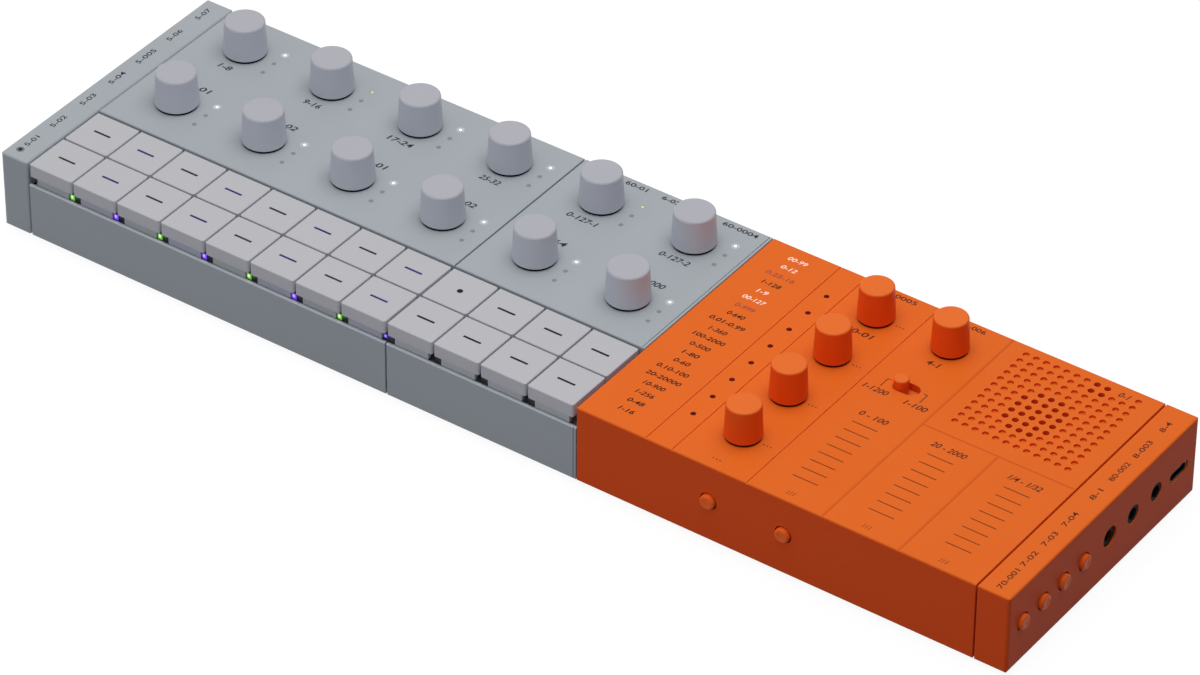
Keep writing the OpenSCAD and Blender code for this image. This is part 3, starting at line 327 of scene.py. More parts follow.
screw_finish, zinc_tree, zinc_surface = new_finish("zinc_plate")
streaks = noise(zinc_tree, 1800)["Fac"]
set_inputs(zinc_tree, zinc_surface, {
    "Metallic": 1,
    "Base Color": mixed(zinc_tree, streaks, shade(150, 150, 152), shade(196, 196, 200)),
    "Roughness": ranged(zinc_tree, streaks, 0, 1, 0.22, 0.42)})
shelves = [corner.co for corner in nodes["bottom_cover"].data.vertices
    if abs(corner.co.z - shelf_level) < same_level]
screws = bmesh.new()
for place in middles(shelves, shelf_reach):
    add_screw(screws, place + Vector((0, 0, -screw_head_height / 4)))
fitted("cover_screws", screws, screw_finish, "case", smooth=True)

# Rubber feet: six matt rubber discs with a small chamfer, pressed into shallow seats of the
# bottom cover, where they stand a little proud of the screws.
dress(["rubber_feet"], moulded_plastic("foot_rubber", shade(46, 47, 49), shade(40, 41, 43),
    shade(58, 59, 61), rough=0.8, pit=0.4, depth=0.03))

# Inside: the main board under green solder mask, the foil battery pouch, the silicone key mat
# and the black speaker, all closed in by the housings.
dress(["main_board"], moulded_plastic("solder_mask", shade(24, 78, 50), shade(20, 66, 44),
    shade(36, 92, 60), rough=0.35, pit=0.6))
dress(["battery_pack"], moulded_plastic("battery_foil", shade(176, 178, 182),
    shade(164, 166, 172), shade(190, 192, 196), rough=0.35, pit=1.5, depth=0.03))
dress(["key_mat"], moulded_plastic("silicone_mat", shade(92, 93, 96), shade(84, 85, 88),
    shade(100, 101, 104), rough=0.7))
dress(["speaker"], moulded_plastic("speaker_frame", shade(36, 34, 34), shade(28, 27, 27),
    shade(50, 48, 48), rough=0.6))

# Grey case: left end cap, drum housing and synth housing, moulded in pale grey ABS with a fine
# grain. Plain numbers are pad-printed beside the knobs and along the left and rear edges.
# The grey's side faces are painted a paler, bluer grey: painted light on the faces that stand up.
case_grey = moulded_plastic("case_grey", shade(163, 169, 174), shade(158, 164, 169),
    shade(204, 209, 215), side_shading=shade(168, 175, 183))
dress(["left_end_cap", "drum_housing", "synth_housing"], case_grey)
case_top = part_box("drum_housing")[1].z
case_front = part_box("drum_housing")[0].y
case_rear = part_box("drum_housing")[1].y
ink_lift = 0.012 * MM
ink_film = 0.02 * MM
ink_middle = Vector((0, 0, ink_lift + ink_film / 2))


def ink(name, colour):
    """Pad-printed ink: nearly flat, with a faint unevenness in its cover."""
    finish, tree, surface = new_finish(name)
    thick = [c * 1.25 for c in colour[:3]] + [1]
    set_inputs(tree, surface, {
        "Roughness": 0.6,
        "Specular IOR Level": 0.15,
        "Base Color": mixed(tree, noise(tree, 2500)["Fac"], colour, thick)})
    return finish


def print_bar(shape, middle, length, width):
    """A flat bar of ink on a surface that faces up; middle is on that surface."""
    add_block(shape, middle + ink_middle, (length, width, ink_film))


def add_disc(shape, middle, radius, thickness, segments=24):
    """A flat disc round a middle."""
    disc = bmesh.ops.create_cone(shape, cap_ends=True, segments=segments, radius1=radius,
        radius2=radius, depth=thickness)["verts"]
    bmesh.ops.translate(shape, vec=middle, verts=disc)


def print_dot(shape, middle, radius):
    """A flat round dot of ink on a surface that faces up."""
    add_disc(shape, middle + ink_middle, radius, ink_film)


def add_ring(shape, middle, outer, inner, height, steps=32):
    """A flat ring that stands on its middle: a box-shaped outline spun once round."""
    outline = [shape.verts.new(middle + Vector(corner)) for corner in (
        (inner, 0, 0), (outer, 0, 0), (outer, 0, height), (inner, 0, height))]
    sides = [shape.edges.new((outline[i - 1], outline[i])) for i in range(4)]
    bmesh.ops.spin(shape, geom=outline + sides, cent=middle, axis=(0, 0, 1), angle=math.tau,
        steps=steps, use_merge=True)


figure_height = 0.69


def print_numbers(shape, words, middle, height, width, turn=0, slant=0, bold=0.012):
    """Numbers in ink on a surface that faces up, centred on middle and turned about it."""
    line = bpy.data.curves.new("numbers", "FONT")
    line.body = words
    line.resolution_u = 3
    line.extrude = ink_film / 2
    line.offset = bold
    holder = bpy.data.objects.new("numbers", line)
    bpy.context.collection.objects.link(holder)
    solid = bpy.data.meshes.new_from_object(
        holder.evaluated_get(bpy.context.evaluated_depsgraph_get()))
    bpy.data.objects.remove(holder)
    xs = [corner.co.x for corner in solid.vertices]
    tall = height / figure_height
    across = width / (max(xs) - min(xs))
    solid.transform(
        Matrix.Translation(middle + ink_middle)
        @ Matrix.Rotation(turn, 4, "Z")
        @ Matrix(((1, slant, 0, 0), (0, 1, 0, 0), (0, 0, 1, 0), (0, 0, 0, 1)))
        @ Matrix.Diagonal((across, tall, 1, 1))
        @ Matrix.Translation((-(min(xs) + max(xs)) / 2, -figure_height / 2, 0)))
    shape.from_mesh(solid)
    bpy.data.meshes.remove(solid)


def welded(shape):
    """Closes the thin solids that the figures leave open along their rims."""
    bmesh.ops.remove_doubles(shape, verts=shape.verts, dist=0.0005 * MM)
    return shape


label_ink = ink("label_ink", shade(38, 40, 44))
label_height = 2.05 * MM
label_slant = 0.22
knob_label_front = -9.5 * MM
knob_label_rear = 9.8 * MM


def middle_of(name):
    """The middle of a node seen from above, at the level of the case top."""
    low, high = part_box(name)
    return Vector(((low.x + high.x) / 2, (low.y + high.y) / 2, case_top))


knob_words = {
    "drum_knob_1": ("10-01", 8.6), "drum_knob_2": ("10-02", 8.6), "drum_knob_3": ("20-01", 8.8),
    "drum_knob_4": ("20-02", 8.8), "drum_knob_5": ("1-8", 4.3), "drum_knob_6": ("9-16", 5.9),
    "drum_knob_7": ("17-24", 8.4), "drum_knob_8": ("25-32", 6.8), "synth_knob_1": ("1-64", 7.4),
    "synth_knob_2": ("0-10000", 11), "synth_knob_3": ("0-127-1", 10),
    "synth_knob_4": ("0-127-2", 10)}
knob_labels = bmesh.new()
for name, (words, width) in knob_words.items():
    beside = middle_of(name)
    front_row = beside.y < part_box("drum_knob_5")[0].y
    beside.y += knob_label_rear if front_row else knob_label_front
    print_numbers(knob_labels, words, beside, label_height, slant=label_slant, width=width * MM)
fitted("knob_numbers", welded(knob_labels), label_ink, "case")

flange_half = 3.3 * MM


def row_places(name, count, margin, axis):
    """Places of a comb's buttons along one axis, from the ends of its box."""
    low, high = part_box(name)
    first = low[axis] + margin
    step = (high[axis] - margin - first) / (count - 1)
    return [first + i * step for i in range(count)]


edge_label_height = 1.65 * MM
left_labels = bmesh.new()
left_label_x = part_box("left_end_cap")[0].x + 3.7 * MM
left_words = (("5-01", 5.6), ("5-02", 6.4), ("5-03", 6.3), ("5-04", 6.9), ("5-005", 8.4),
    ("5-06", 6.4), ("5-07", 6.2))
left_places = row_places("left_buttons", 7, flange_half, 1)
round_mark = Vector((left_label_x, case_front + 4.3 * MM, case_top))
past_round_mark = 5.2 * MM
round_mark_outer = 1.15 * MM
round_mark_inner = 0.95 * MM
round_mark_dot = 0.75 * MM
left_places[0] = round_mark.y + past_round_mark
for (words, width), y in zip(left_words, left_places):
    print_numbers(left_labels, words, Vector((left_label_x, y, case_top)), edge_label_height,
        turn=math.pi / 2, width=width * MM, bold=0.006)
add_ring(left_labels, round_mark + Vector((0, 0, ink_lift)), round_mark_outer,
    round_mark_inner, ink_film)
print_dot(left_labels, round_mark, round_mark_dot)
fitted("left_edge_numbers", welded(left_labels), label_ink, "case")

rear_labels = bmesh.new()
rear_label_y = case_rear - 2.5 * MM
rear_places = row_places("rear_grey_buttons", 4, flange_half, 0)
rear_words = (("60-01", 7.4), ("6-02", 6), ("60-0004", 11.8))
for (words, width), x in zip(rear_words, (rear_places[0], rear_places[1], rear_places[3])):
    print_numbers(rear_labels, words, Vector((x, rear_label_y, case_top)), edge_label_height,
        width * MM)
fitted("rear_edge_numbers", welded(rear_labels), label_ink, "case")

# Orange case: the effects block and the right end cap, moulded in the same grain. A column of
# small numbers lies over lamps at the block's left edge, four of them lit.
# The orange's side faces are painted a redder orange: painted shade, not a second colour of
# plastic.
case_orange = moulded_plastic("case_orange", shade(226, 104, 30), shade(221, 100, 27),
    shade(246, 136, 72), sheen=0.12, side_shading=shade(228, 82, 26))
dress(["fx_housing", "right_end_cap"], case_orange)
orange_tree = case_orange.node_tree
orange_height = axis_of(orange_tree, own_place(orange_tree), "Z")
orange_facing = axis_of(orange_tree, add_node(orange_tree, "NewGeometry").outputs["Normal"], "Z")


def overlay(finish, share, colour):
    """Lays a colour over a finish to the share that an output in its tree gives."""
    base = finish.node_tree.nodes["Principled BSDF"].inputs["Base Color"]
    set_inputs(finish.node_tree, finish.node_tree.nodes["Principled BSDF"], {
        "Base Color": mixed(finish.node_tree, share, base.links[0].from_socket, colour)})


crease_rim = case_top - 0.09 * MM
crease_floor = case_top - 0.135 * MM
hole_level = case_top - 0.3 * MM
nearly_up = 0.92
# Painted shade in the creases: the deepest part of each shallow crease on the top is painted a
# darker orange.
crease_shade = ranged(orange_tree, orange_height, crease_rim, crease_floor)
for other in (worked_out(orange_tree, "GREATER_THAN", orange_height, hole_level),
        worked_out(orange_tree, "GREATER_THAN", orange_facing, nearly_up)):
    crease_shade = worked_out(orange_tree, "MULTIPLY", crease_shade, other)
overlay(case_orange, crease_shade, shade(204, 86, 22))
block_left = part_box("fx_housing")[0].x
block_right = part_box("fx_housing")[1].x
cap_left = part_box("right_end_cap")[0].x
tongue_height = 1 * MM
tongue_sink = 0.4 * MM
tongue_clearance = 0.04 * MM
tongue_ends = 8 * MM
tongue = bmesh.new()
add_block(tongue, ((cap_left + block_right) / 2, (case_front + case_rear) / 2,
    case_top - tongue_sink - tongue_height / 2), (cap_left - block_right - tongue_clearance,
    case_rear - case_front - tongue_ends, tongue_height))
fitted("seam_tongue", tongue, case_orange, "case")
brown_ink = ink("brown_ink", shade(84, 36, 20))


def lamp_plastic(name, colour, strength):
    """Clear plastic over a lamp: it glows in its own colour, a little uneven over its face."""
    finish, tree, surface = new_finish(name)
    dimmer = [c * 0.85 for c in colour[:3]] + [1]
    tone = mixed(tree, noise(tree, 900)["Fac"], colour, dimmer)
    set_inputs(tree, surface, {
        "Roughness": 0.3,
        "Base Color": tone,
        "Emission Color": tone,
        "Emission Strength": strength})
    return finish


white_lamp = lamp_plastic("white_lamp", shade(250, 226, 216), 0.3)
rose_lamp = lamp_plastic("rose_lamp", shade(150, 62, 48), 0.15)
column_ink = ink("column_ink", shade(50, 20, 9))
column_x = block_left + 11.65 * MM
column_rear = case_rear - 5.4 * MM
column_front = case_front + 7.1 * MM
column_height = 1.65 * MM
column_words = [
    ("00-99", 6.1), ("0-12", 5), ("0.25-16", 9.4), ("1-128", 5.9), ("1-9", 3.3),
    ("00-127", 7.2), ("0-999", 6.3), ("0-640", 5.6), ("0.01-0.99", 11.4), ("1-360", 5.6),
    ("100-2000", 10.2), ("0-500", 6.4), ("1-80", 5.2), ("0-60", 5.1), ("0.10-100", 10.2),
    ("20-20000", 11.2), ("10-900", 6.8), ("1-256", 5.7), ("0-48", 5.3), ("1-16", 4.8)]
white_rows = (0, 1, 4, 5)
rose_rows = (2, 6)
lit_numbers, rose_numbers, dark_numbers = bmesh.new(), bmesh.new(), bmesh.new()
for row, (words, width) in enumerate(column_words):
    y = column_rear + (column_front - column_rear) * row / (len(column_words) - 1)
    shape, bold = dark_numbers, 0.014
    if row in white_rows:
        shape, bold = lit_numbers, 0
    elif row in rose_rows:
        shape = rose_numbers
    print_numbers(shape, words, Vector((column_x, y, case_top)), column_height,
        slant=label_slant, width=width * MM, bold=bold)
fitted("column_numbers_lit", welded(lit_numbers), white_lamp, "case")
fitted("column_numbers_rose", welded(rose_numbers), rose_lamp, "case")
fitted("column_numbers_dark", welded(dark_numbers), column_ink, "case")

block_marks = bmesh.new()
strip_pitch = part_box("fx_knob")[0].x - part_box("sound_knob_4")[0].x
sound_x = middle_of("sound_knob_1").x
strips = [sound_x + strip_pitch * i for i in range(1, 4)]
dot_radius = 0.22 * MM
dot_step = 1.1 * MM
right_of_knobs = Vector((7.85 * MM, 0, 0))
dot_rows = [middle_of(f"sound_knob_{i}") + right_of_knobs for i in range(1, 5)]
dot_rows.append(Vector((sound_x, case_front + 3.8 * MM, case_top)))
for dot_row in dot_rows:
    for k in (-1, 0, 1):
        print_dot(block_marks, dot_row + Vector((k * dot_step, 0, 0)), dot_radius)
below_knobs = Vector((0, -8.4 * MM, 0))
print_numbers(block_marks, "30-01", middle_of("sound_knob_4") + below_knobs, label_height,
    slant=label_slant, width=8.6 * MM)
print_numbers(block_marks, "4-1", middle_of("fx_knob") + below_knobs, label_height,
    slant=label_slant, width=3.9 * MM)
slide_middle = Vector((strips[0], middle_of("slide_switch").y, case_top))
bracket_line = 0.25 * MM
bracket_height = 3.9 * MM
bracket_foot = 1.2 * MM
for side, words, width in ((-1, "1-1200", 7.6), (1, "1-100", 7)):
    corner = slide_middle + Vector((side * 6.4 * MM, 0.5 * MM, 0))
    print_bar(block_marks, corner - Vector((0, bracket_height / 2, 0)), bracket_line,
        bracket_height)
    print_bar(block_marks, corner - Vector((side * bracket_foot / 2, 0, 0)), bracket_foot,
        bracket_line)
    print_numbers(block_marks, words, slide_middle + Vector((side * 6.5 * MM, -5.3 * MM, 0)),
        label_height, slant=label_slant, width=width * MM)

scale_lines = 8
scale_line_length = 8.1 * MM
scale_front = case_front + 10.3 * MM
scale_step = 4.09 * MM
scale_line_width = 0.28 * MM
scale_title_y = case_front + 43.5 * MM
grip_dots = Vector((0, case_front + 3.3 * MM, case_top))
grip_across = Vector((0.95 * MM, 0, 0))
grip_along = Vector((0.12 * MM, 0.6 * MM, 0))
grip_dot_radius = 0.17 * MM
for x, words, width in zip(strips, ("0 - 100", "20 - 2000", "1/4 - 1/32"), (8.9, 10.8, 10.2)):
    for i in range(scale_lines):
        print_bar(block_marks, Vector((x, scale_front + i * scale_step, case_top)),
            scale_line_length, scale_line_width)
    print_numbers(block_marks, words, Vector((x, scale_title_y, case_top)), label_height,
        slant=label_slant, width=width * MM)
    for i in (-1, 0, 1):
        for k in (-1, 0, 1):
            print_dot(block_marks, grip_dots + Vector((x, 0, 0)) + i * grip_across
                + k * grip_along, grip_dot_radius)
screen_label = Vector((block_right - 10.7 * MM, case_rear - 4.1 * MM, case_top))
print_numbers(block_marks, "0-1", screen_label, label_height, slant=label_slant,
    width=3.1 * MM)
for (words, width), x in zip((("60-0005", 11.8), ("60-006", 8.6)),
        row_places("rear_orange_buttons", 2, flange_half, 0)):
    print_numbers(block_marks, words, Vector((x, rear_label_y, case_top)), edge_label_height,
        width * MM)
fitted("block_marks", welded(block_marks), brown_ink, "case")

right_labels = bmesh.new()
right_label_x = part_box("right_end_cap")[1].x - 5.1 * MM
right_words = (("70-001", 9.4), ("7-02", 7.2), ("7-03", 6.8), ("7-04", 6.8), ("8-1", 5.2),
    ("80-002", 9.4), ("8-003", 8.6), ("8-4", 4.8))
jack_half = 3.25 * MM
usb_half = 4.47 * MM
sockets_low, sockets_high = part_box("sockets")
socket_first = sockets_low.y + jack_half
socket_count = 4
socket_step = (sockets_high.y - usb_half - socket_first) / (socket_count - 1)
right_places = row_places("right_buttons", 4, flange_half, 1)
right_places += [socket_first + i * socket_step for i in range(socket_count)]
for (words, width), y in zip(right_words, right_places):
    print_numbers(right_labels, words, Vector((right_label_x, y, case_top)), edge_label_height,
        turn=math.pi / 2, width=width * MM, bold=0.006)
fitted("right_edge_numbers", welded(right_labels), brown_ink, "case")

# Indicators: smoked acrylic rods under the grey panels, dark red ones in the effects block and
# light guides between the front keys. Lamps under some of them are lit, white, green or violet.
lens_finish, lens_tree, lens_surface = new_finish("smoked_acrylic")
lens_place = own_place(lens_tree)
rod_level = case_top - 0.6 * MM
rod_tone = mixed(lens_tree, worked_out(lens_tree, "GREATER_THAN",
    axis_of(lens_tree, lens_place, "Z"), rod_level), shade(96, 100, 98), shade(128, 132, 142))
block_tone = mixed(lens_tree, worked_out(lens_tree, "GREATER_THAN",
    axis_of(lens_tree, lens_place, "X"), block_left), rod_tone, shade(60, 12, 10))
set_inputs(lens_tree, lens_surface, {
    "Roughness": 0.22,
    "IOR": 1.49,
    "Base Color": mixed(lens_tree, 0.12, block_tone, noise(lens_tree, 700)["Color"],
        "MULTIPLY")})
dress(["indicator_lenses"], lens_finish)

lens_corners = [corner.co for corner in nodes["indicator_lenses"].data.vertices]
rod_reach = 3 * MM
same_rod_level = 0.03 * MM


def rod_tops(depth, left=cad_low.x):
    """The middles of the rods that end a depth below the case top, from a place in X on."""
    return middles([corner for corner in lens_corners if corner.x > left
        and abs(corner.z - (case_top - depth)) < same_rod_level], rod_reach)


glow_white = lamp_plastic("glow_white", shade(240, 244, 255), 0.6)
dim_green = lamp_plastic("dim_green", shade(176, 218, 142), 0.4)
glow_green = lamp_plastic("glow_green", shade(128, 206, 96), 0.5)
glow_violet = lamp_plastic("glow_violet", shade(112, 70, 226), 0.85)
core_green = lamp_plastic("core_green", shade(206, 246, 150), 0.95)
core_violet = lamp_plastic("core_violet", shade(196, 148, 255), 1)
lit_cap_size = (1 * MM, 1 * MM, 0.24 * MM)
dull_cap_radius = 0.74 * MM
dull_lift = Vector((0, 0, 0.1 * MM))
lit_lift = Vector((0, 0, 0.08 * MM))


def add_dome(shape, place, size):
    """A small rounded drop of clear plastic, size across in X, Y and Z."""
    dome = bmesh.ops.create_icosphere(shape, subdivisions=4, radius=0.5)["verts"]
    bmesh.ops.scale(shape, vec=size, verts=dome)
    bmesh.ops.translate(shape, vec=place, verts=dome)


green_knobs = ("drum_knob_6", "synth_knob_3")
grey_knobs = [f"drum_knob_{i}" for i in range(1, 9)] + [f"synth_knob_{i}" for i in range(1, 5)]
lens_tops = rod_tops(0.1 * MM)
trio_half_depth = 7 * MM
trio_width = 14 * MM
lit_places = []
white_caps, green_caps, dull_caps = bmesh.new(), bmesh.new(), bmesh.new()
for name in grey_knobs:
    knob = middle_of(name)
    trio = [place for place in lens_tops
        if abs(place.y - knob.y) < trio_half_depth and 0 < place.x - knob.x < trio_width]
    lit = max(trio, key=lambda place: place.y)
    for place in trio:
        if place is not lit:
            print_dot(dull_caps, place + dull_lift, dull_cap_radius)
    add_dome(green_caps if name in green_knobs else white_caps, lit + lit_lift, lit_cap_size)
    lit_places.append((lit, name in green_knobs))
fitted("indicator_caps_dull", dull_caps, moulded_plastic("dull_diffuser", shade(132, 136, 145),
    shade(126, 130, 139), shade(140, 144, 152), rough=0.4), "case")
fitted("indicator_caps_white", white_caps, glow_white, "case", smooth=True)
fitted("indicator_caps_green", green_caps, dim_green, "case", smooth=True)

plugs = bmesh.new()
plug_radius = 0.78 * MM
plug_height = 0.6 * MM
plug_lift = Vector((0, 0, 0.02 * MM + plug_height / 2))
for place in rod_tops(1 * MM, block_left):
    add_disc(plugs, place + plug_lift, plug_radius, plug_height)
fitted("indicator_plugs_dark", plugs, moulded_plastic("dark_red_plug", shade(84, 16, 12),
    shade(74, 12, 10), shade(96, 24, 18), rough=0.4, sheen=0.15), "case")

# Spread light: the lit lamps also light the grey plastic round them, a soft spot round each.
# The spots are part of the panel's own finish, wider round the white lamps.
panel_tree = case_grey.node_tree
panel_place = own_place(panel_tree)


def soft_spot(tree, place, centre, reach, full, strength=1):
    """A share that rises to its strength from a reach round a centre to full, near it."""
    distance = add_node(tree, "VectorMath", {0: place, 1: centre},
        operation="DISTANCE").outputs["Value"]
    return ranged(tree, distance, reach, full, 0, strength, "SMOOTHERSTEP")


halo_core = 0.2 * MM
halo = 0
for place, is_green in lit_places:
    reach, strength = (1 * MM, 0.08) if is_green else (1.7 * MM, 0.34)
    halo = worked_out(panel_tree, "ADD", halo,
        soft_spot(panel_tree, panel_place, place, reach, halo_core, strength))
set_inputs(panel_tree, panel_tree.nodes["Principled BSDF"], {
    "Emission Color": shade(236, 242, 255),
    "Emission Strength": halo})

# Window lights: the lit ends of the light guides in the key windows, green and violet in turn,
# each a plain face with a paler core. The guides round them glow a little.
glow_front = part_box("drum_key_1")[0].y + 1.35 * MM
window_foot = case_top - 7.3 * MM
window_height = 1.8 * MM
left_of_seam = 0.75 * MM
guide_middle = Vector((0, 0, 0.9 * MM))
guide_reach = 1.9 * MM
guide_core = 0.6 * MM
glow_size = (1.35 * MM, 0.3 * MM, 1.7 * MM)
core_size = (0.85 * MM, 0.2 * MM, 1.1 * MM)
glow_shapes = {glow_green: bmesh.new(), glow_violet: bmesh.new(), core_green: bmesh.new(),
    core_violet: bmesh.new()}
guide_lights = []
front_keys = [f"drum_key_{i}" for i in range(1, 9)] + ["synth_key_1"]
for i in range(8):
    seam = (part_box(front_keys[i])[1].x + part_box(front_keys[i + 1])[0].x) / 2
    outer, core = (glow_violet, core_violet) if i % 2 else (glow_green, core_green)
    spot = Vector((seam - left_of_seam, glow_front, window_foot))
    guide_lights.append((spot + guide_middle, outer is glow_green))
    share = 0.6 if i == 7 else 1
    for add, shape, (width, depth, height), aside, ahead, below in (
            (add_block, glow_shapes[outer], glow_size, 0.3 * MM, 0, 0.85 * MM),
            (add_dome, glow_shapes[core], core_size, 0.35 * MM, 0.14 * MM, 0.65 * MM)):
        add(shape, spot + Vector((-aside, -ahead, window_height - below * share)),
            (width * share, depth, height * share))
for name, finish in (("window_glow_green", glow_green), ("window_glow_violet", glow_violet),
        ("window_core_green", core_green), ("window_core_violet", core_violet)):
    fitted(name, glow_shapes[finish], finish, "case", smooth="core" in name)
guide_light = (0, 0, 0, 1)
for place, is_green in guide_lights:
    guide_light = mixed(lens_tree,
        soft_spot(lens_tree, lens_place, place, guide_reach, guide_core), guide_light,
        shade(96, 200, 70) if is_green else shade(92, 52, 200), "ADD")
set_inputs(lens_tree, lens_surface, {
    "Emission Color": guide_light,
    "Emission Strength": 0.45})

# Front lip: the rounded edge of the fascia under the keys gets a painted highlight, a paler band
# in the grey. A thin rim stands up behind it in the gap in front of the keys, painted pale so
# that it reads as part of the lit lip and hides the shade in the gap.
lip_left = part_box("drum_key_1")[0].x - 0.35 * MM
lip_back = case_front + 0.8 * MM
lip_highlight = 0.55
for axis, start, full in (
        ("X", lip_left, lip_left + 0.05 * MM),
        ("Y", lip_back + 0.1 * MM, lip_back + 0.02 * MM),
        ("Z", window_foot - 0.32 * MM, window_foot - 0.1 * MM)):
    lip_highlight = ranged(panel_tree, axis_of(panel_tree, panel_place, axis), start, full, 0,
        lip_highlight)
overlay(case_grey, lip_highlight, shade(232, 238, 248))
# The rim is painted pale: a painted highlight over the shade in the gap.
rim_width = 0.2 * MM
rim_height = 1.44 * MM
rims = bmesh.new()
for first, last in (("drum_key_1", "drum_key_8"), ("synth_key_1", "synth_key_4")):
    rim_left, rim_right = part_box(first)[0].x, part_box(last)[1].x
    add_block(rims, ((rim_left + rim_right) / 2, lip_back + rim_width / 2,
        window_foot - rim_height / 2), (rim_right - rim_left, rim_width, rim_height))
fitted("lip_gap_fillers", rims, moulded_plastic("pale_gap_filler", shade(196, 202, 212),
    shade(188, 194, 204), shade(214, 220, 230), rough=0.6, depth=0.004, sheen=0.15), "case")

# Acoustic mesh: discs of fine woven nylon in the orange of the case, glued to the underside of
# the panel over the speaker and the microphone, so that no dust falls through their holes.
mesh_thickness = 0.12 * MM
panel_thickness = 2 * MM
speaker_low, speaker_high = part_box("speaker")
speaker_middle = (speaker_low + speaker_high) / 2
speaker_middle.z = case_top - panel_thickness - mesh_thickness
speaker_mesh_radius = 12.5 * MM
microphone_middle = speaker_middle + Vector((8.2 * MM, 19.68 * MM, 0))
microphone_mesh_radius = 3.2 * MM
acoustic = bmesh.new()
for middle, radius in ((speaker_middle, speaker_mesh_radius),
        (microphone_middle, microphone_mesh_radius)):
    add_disc(acoustic, middle, radius, mesh_thickness, segments=48)
fitted("acoustic_mesh", acoustic, moulded_plastic("acoustic_mesh", shade(204, 30, 10),
    shade(176, 22, 8), shade(210, 44, 16), rough=0.8, pit=0.25, depth=0.05), "case")

# Keys: two rows of square caps, each a separate smooth moulding a shade paler than the case.
# A thin bar is printed on each: olive and violet in turn on the drum section, black after it.
key_block_height = 4.2 * MM


def key_plastic(name, skirt_shade_tone):
    """The plastic of a key, painted darker under the block for the shade that falls there, tinted
    by the window lamp beside it, with painted light on its side faces.
    """
    return moulded_plastic(name, shade(183, 183, 187), shade(179, 179, 184),
        shade(204, 204, 208), rough=0.42, pit=0.2, depth=0.006, below=skirt_shade_tone,
        level=case_top - key_block_height, side_shading=shade(195, 195, 204))


drum_keys = [f"drum_key_{i}" for i in range(1, 17)]
synth_keys = [f"synth_key_{i}" for i in range(1, 9)]
# The band under each drum key's block is painted shade, tinted green or violet by the window lamp
# beside it; on the synth keys it is painted shade alone.
dress(drum_keys[::2], key_plastic("key_skirt_painted_shade_green_glow", shade(180, 187, 190)))
dress(drum_keys[1::2], key_plastic("key_skirt_painted_shade_violet_glow", shade(180, 183, 199)))
dress(synth_keys, key_plastic("key_skirt_painted_shade_grey", shade(190, 195, 202)))
olive_ink = ink("olive_ink", shade(44, 47, 32))
violet_ink = ink("violet_ink", shade(52, 40, 104))
black_ink = ink("black_ink", shade(26, 27, 29))
key_mark_length = 5.9 * MM
key_mark_width = 0.72 * MM
key_dot_radius = 0.9 * MM
for i, name in enumerate(drum_keys + synth_keys):
    mark = bmesh.new()
    top = Vector((middle_of(name).x, middle_of(name).y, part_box(name)[1].z))
    if name == "synth_key_5":
        print_dot(mark, top, key_dot_radius)
    else:
        print_bar(mark, top, key_mark_length, key_mark_width)
    on_drums = i < len(drum_keys)
    colour = (violet_ink if i % 2 else olive_ink) if on_drums else black_ink
    fitted(name + "_mark", mark, colour, name)

# Knobs: twelve grey and five orange caps, each moulded in one piece with soft matt sides and a
# rounded rim, and pressed on the flatted steel shaft of its encoder.
# The knobs' side faces are painted: paler and bluer on the grey knobs, redder on the orange ones,
# for the light and shade that fall on them.
knob_grey = moulded_plastic("knob_grey", shade(172, 172, 180), shade(168, 168, 176),
    shade(200, 200, 206), rough=0.48, pit=0.25, depth=0.008, side_shading=shade(190, 194, 206))
knob_orange = moulded_plastic("knob_orange", shade(230, 108, 36), shade(226, 104, 32),
    shade(248, 144, 78), rough=0.48, pit=0.25, depth=0.008, sheen=0.2,
    side_shading=shade(236, 84, 18))
orange_knobs = [f"sound_knob_{i}" for i in range(1, 5)] + ["fx_knob"]
dress(grey_knobs, knob_grey)
dress(orange_knobs, knob_orange)

# Painted shadow under the knobs: dark rings on the panels round the shafts, under the knobs'
# lower edges, put where the gap under each knob lies in shade; black on the grey panels and dark
# red on the orange one, where orange light reaches into the shade.
shadow_ring_inset = 0.35 * MM
shadow_ring_bore = 3.7 * MM
shadow_ring_height = 0.5 * MM
shadow_ring_lift = Vector((0, 0, 0.02 * MM))
for name, colour, knobs in (("knob_gap_shadow_black", (22, 23, 26), grey_knobs),
        ("knob_gap_shadow_red", (78, 12, 8), orange_knobs)):
    shadow_ring_shape = bmesh.new()
    for knob in knobs:
        low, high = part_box(knob)
        add_ring(shadow_ring_shape, middle_of(knob) + shadow_ring_lift, (high.x - low.x) / 2 - shadow_ring_inset,
            shadow_ring_bore, shadow_ring_height, steps=64)
    fitted(name, shadow_ring_shape, moulded_plastic(name, shade(*colour), shade(*[c * 0.85 for c in colour]),
        shade(*[c * 1.2 for c in colour]), rough=0.9, pit=0.2, depth=0.05, sheen=0.1), "case")

# Slide switch: an orange pin moulded on a carrier, which rides under its slot in the panel and
# moves the switch on the board between two stops. It has the plastic of the orange knobs.
dress(["slide_switch"], knob_orange)

# Side buttons: round dished caps on thin moulded combs behind the walls, which the switches on
# the board's edge press outwards. They are grey in the grey case and orange in the orange one.
# The orange buttons are a paler orange than the case: painted light for the light their domed
# faces catch.
button_orange = moulded_plastic("button_orange", shade(252, 106, 33), shade(248, 102, 30),
    shade(255, 148, 76), rough=0.34, pit=0.25, depth=0.008, sheen=0.13)
dress(["front_buttons", "right_buttons", "rear_orange_buttons"], button_orange)
dress(["left_buttons", "rear_grey_buttons"], knob_grey)

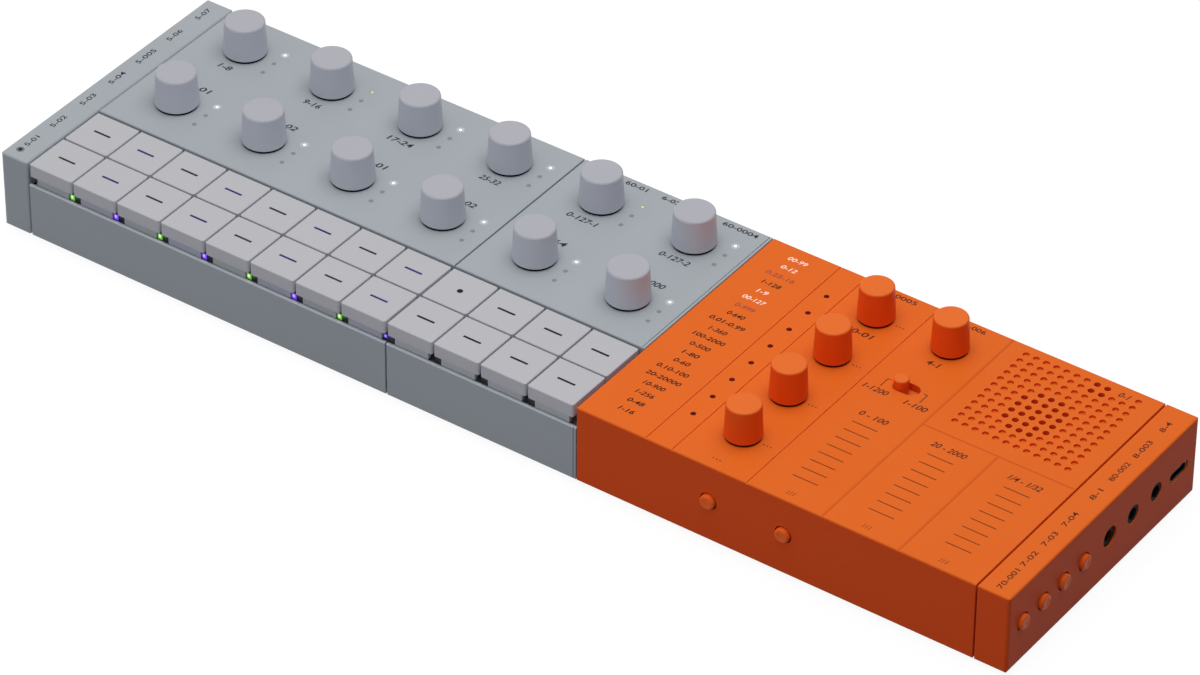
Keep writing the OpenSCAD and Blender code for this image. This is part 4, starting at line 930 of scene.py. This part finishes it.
# Sockets: three jack bodies in black plastic, each behind a black washer and with a nickel
# contact ring deep in its bore, and the USB-C receptacle, a drawn steel shell round a tongue.
socket_finish = moulded_plastic("socket_black", shade(24, 24, 26), shade(18, 18, 20),
    shade(40, 40, 42), rough=0.35)
socket_tree = socket_finish.node_tree
socket_place = own_place(socket_tree)
usb_row = sockets_high.y - usb_half
jack_level = (sockets_low.z + sockets_high.z) / 2
usb_middle = jack_level - 0.9 * MM
jacks_end = usb_row - usb_half - 0.5 * MM
shell_walls = 0
for axis, middle, reach in (("Y", usb_row, 3.3 * MM), ("Z", usb_middle, 0.5 * MM)):
    offset = worked_out(socket_tree, "SUBTRACT", axis_of(socket_tree, socket_place, axis), middle)
    beyond = worked_out(socket_tree, "GREATER_THAN", worked_out(socket_tree, "ABSOLUTE", offset),
        reach)
    shell_walls = worked_out(socket_tree, "MAXIMUM", shell_walls, beyond)
is_steel = worked_out(socket_tree, "MULTIPLY", shell_walls, worked_out(socket_tree,
    "GREATER_THAN", axis_of(socket_tree, socket_place, "Y"), jacks_end))
overlay(socket_finish, is_steel, shade(96, 96, 98))
set_inputs(socket_tree, socket_tree.nodes["Principled BSDF"], {"Metallic": is_steel})
dress(["sockets"], socket_finish)

socket_mouth = sockets_high.x + 0.4 * MM
contact_sink = Vector((4 * MM, 0, 0))
washers, contacts = bmesh.new(), bmesh.new()
for i, (outer, depth) in enumerate(((3.15 * MM, 0.9 * MM), (2.78 * MM, 0.55 * MM),
        (2.78 * MM, 0.55 * MM))):
    mouth = Vector((socket_mouth - depth, socket_first + i * socket_step, jack_level))
    for shape, place, ring_outer, ring_inner, thickness in (
            (washers, mouth, outer, 1.85 * MM, 0.3 * MM),
            (contacts, mouth - contact_sink, 1.76 * MM, 1.6 * MM, 1 * MM)):
        before = set(shape.verts)
        add_ring(shape, Vector((0, 0, 0)), ring_outer, ring_inner, thickness)
        ring = [corner for corner in shape.verts if corner not in before]
        bmesh.ops.rotate(shape, cent=(0, 0, 0), matrix=Matrix.Rotation(math.pi / 2, 3, "Y"),
            verts=ring)
        bmesh.ops.translate(shape, vec=place, verts=ring)
fitted("jack_washers", washers, moulded_plastic("washer_black", shade(9, 9, 10),
    shade(7, 7, 8), shade(24, 24, 25), rough=0.6, sheen=0.1), "case")
nickel = moulded_plastic("nickel", shade(200, 196, 186), shade(188, 184, 174),
    shade(216, 212, 204), rough=0.25, pit=0.6, depth=0.004)
set_inputs(nickel.node_tree, nickel.node_tree.nodes["Principled BSDF"], {"Metallic": 1})
fitted("jack_contacts", contacts, nickel, "case")
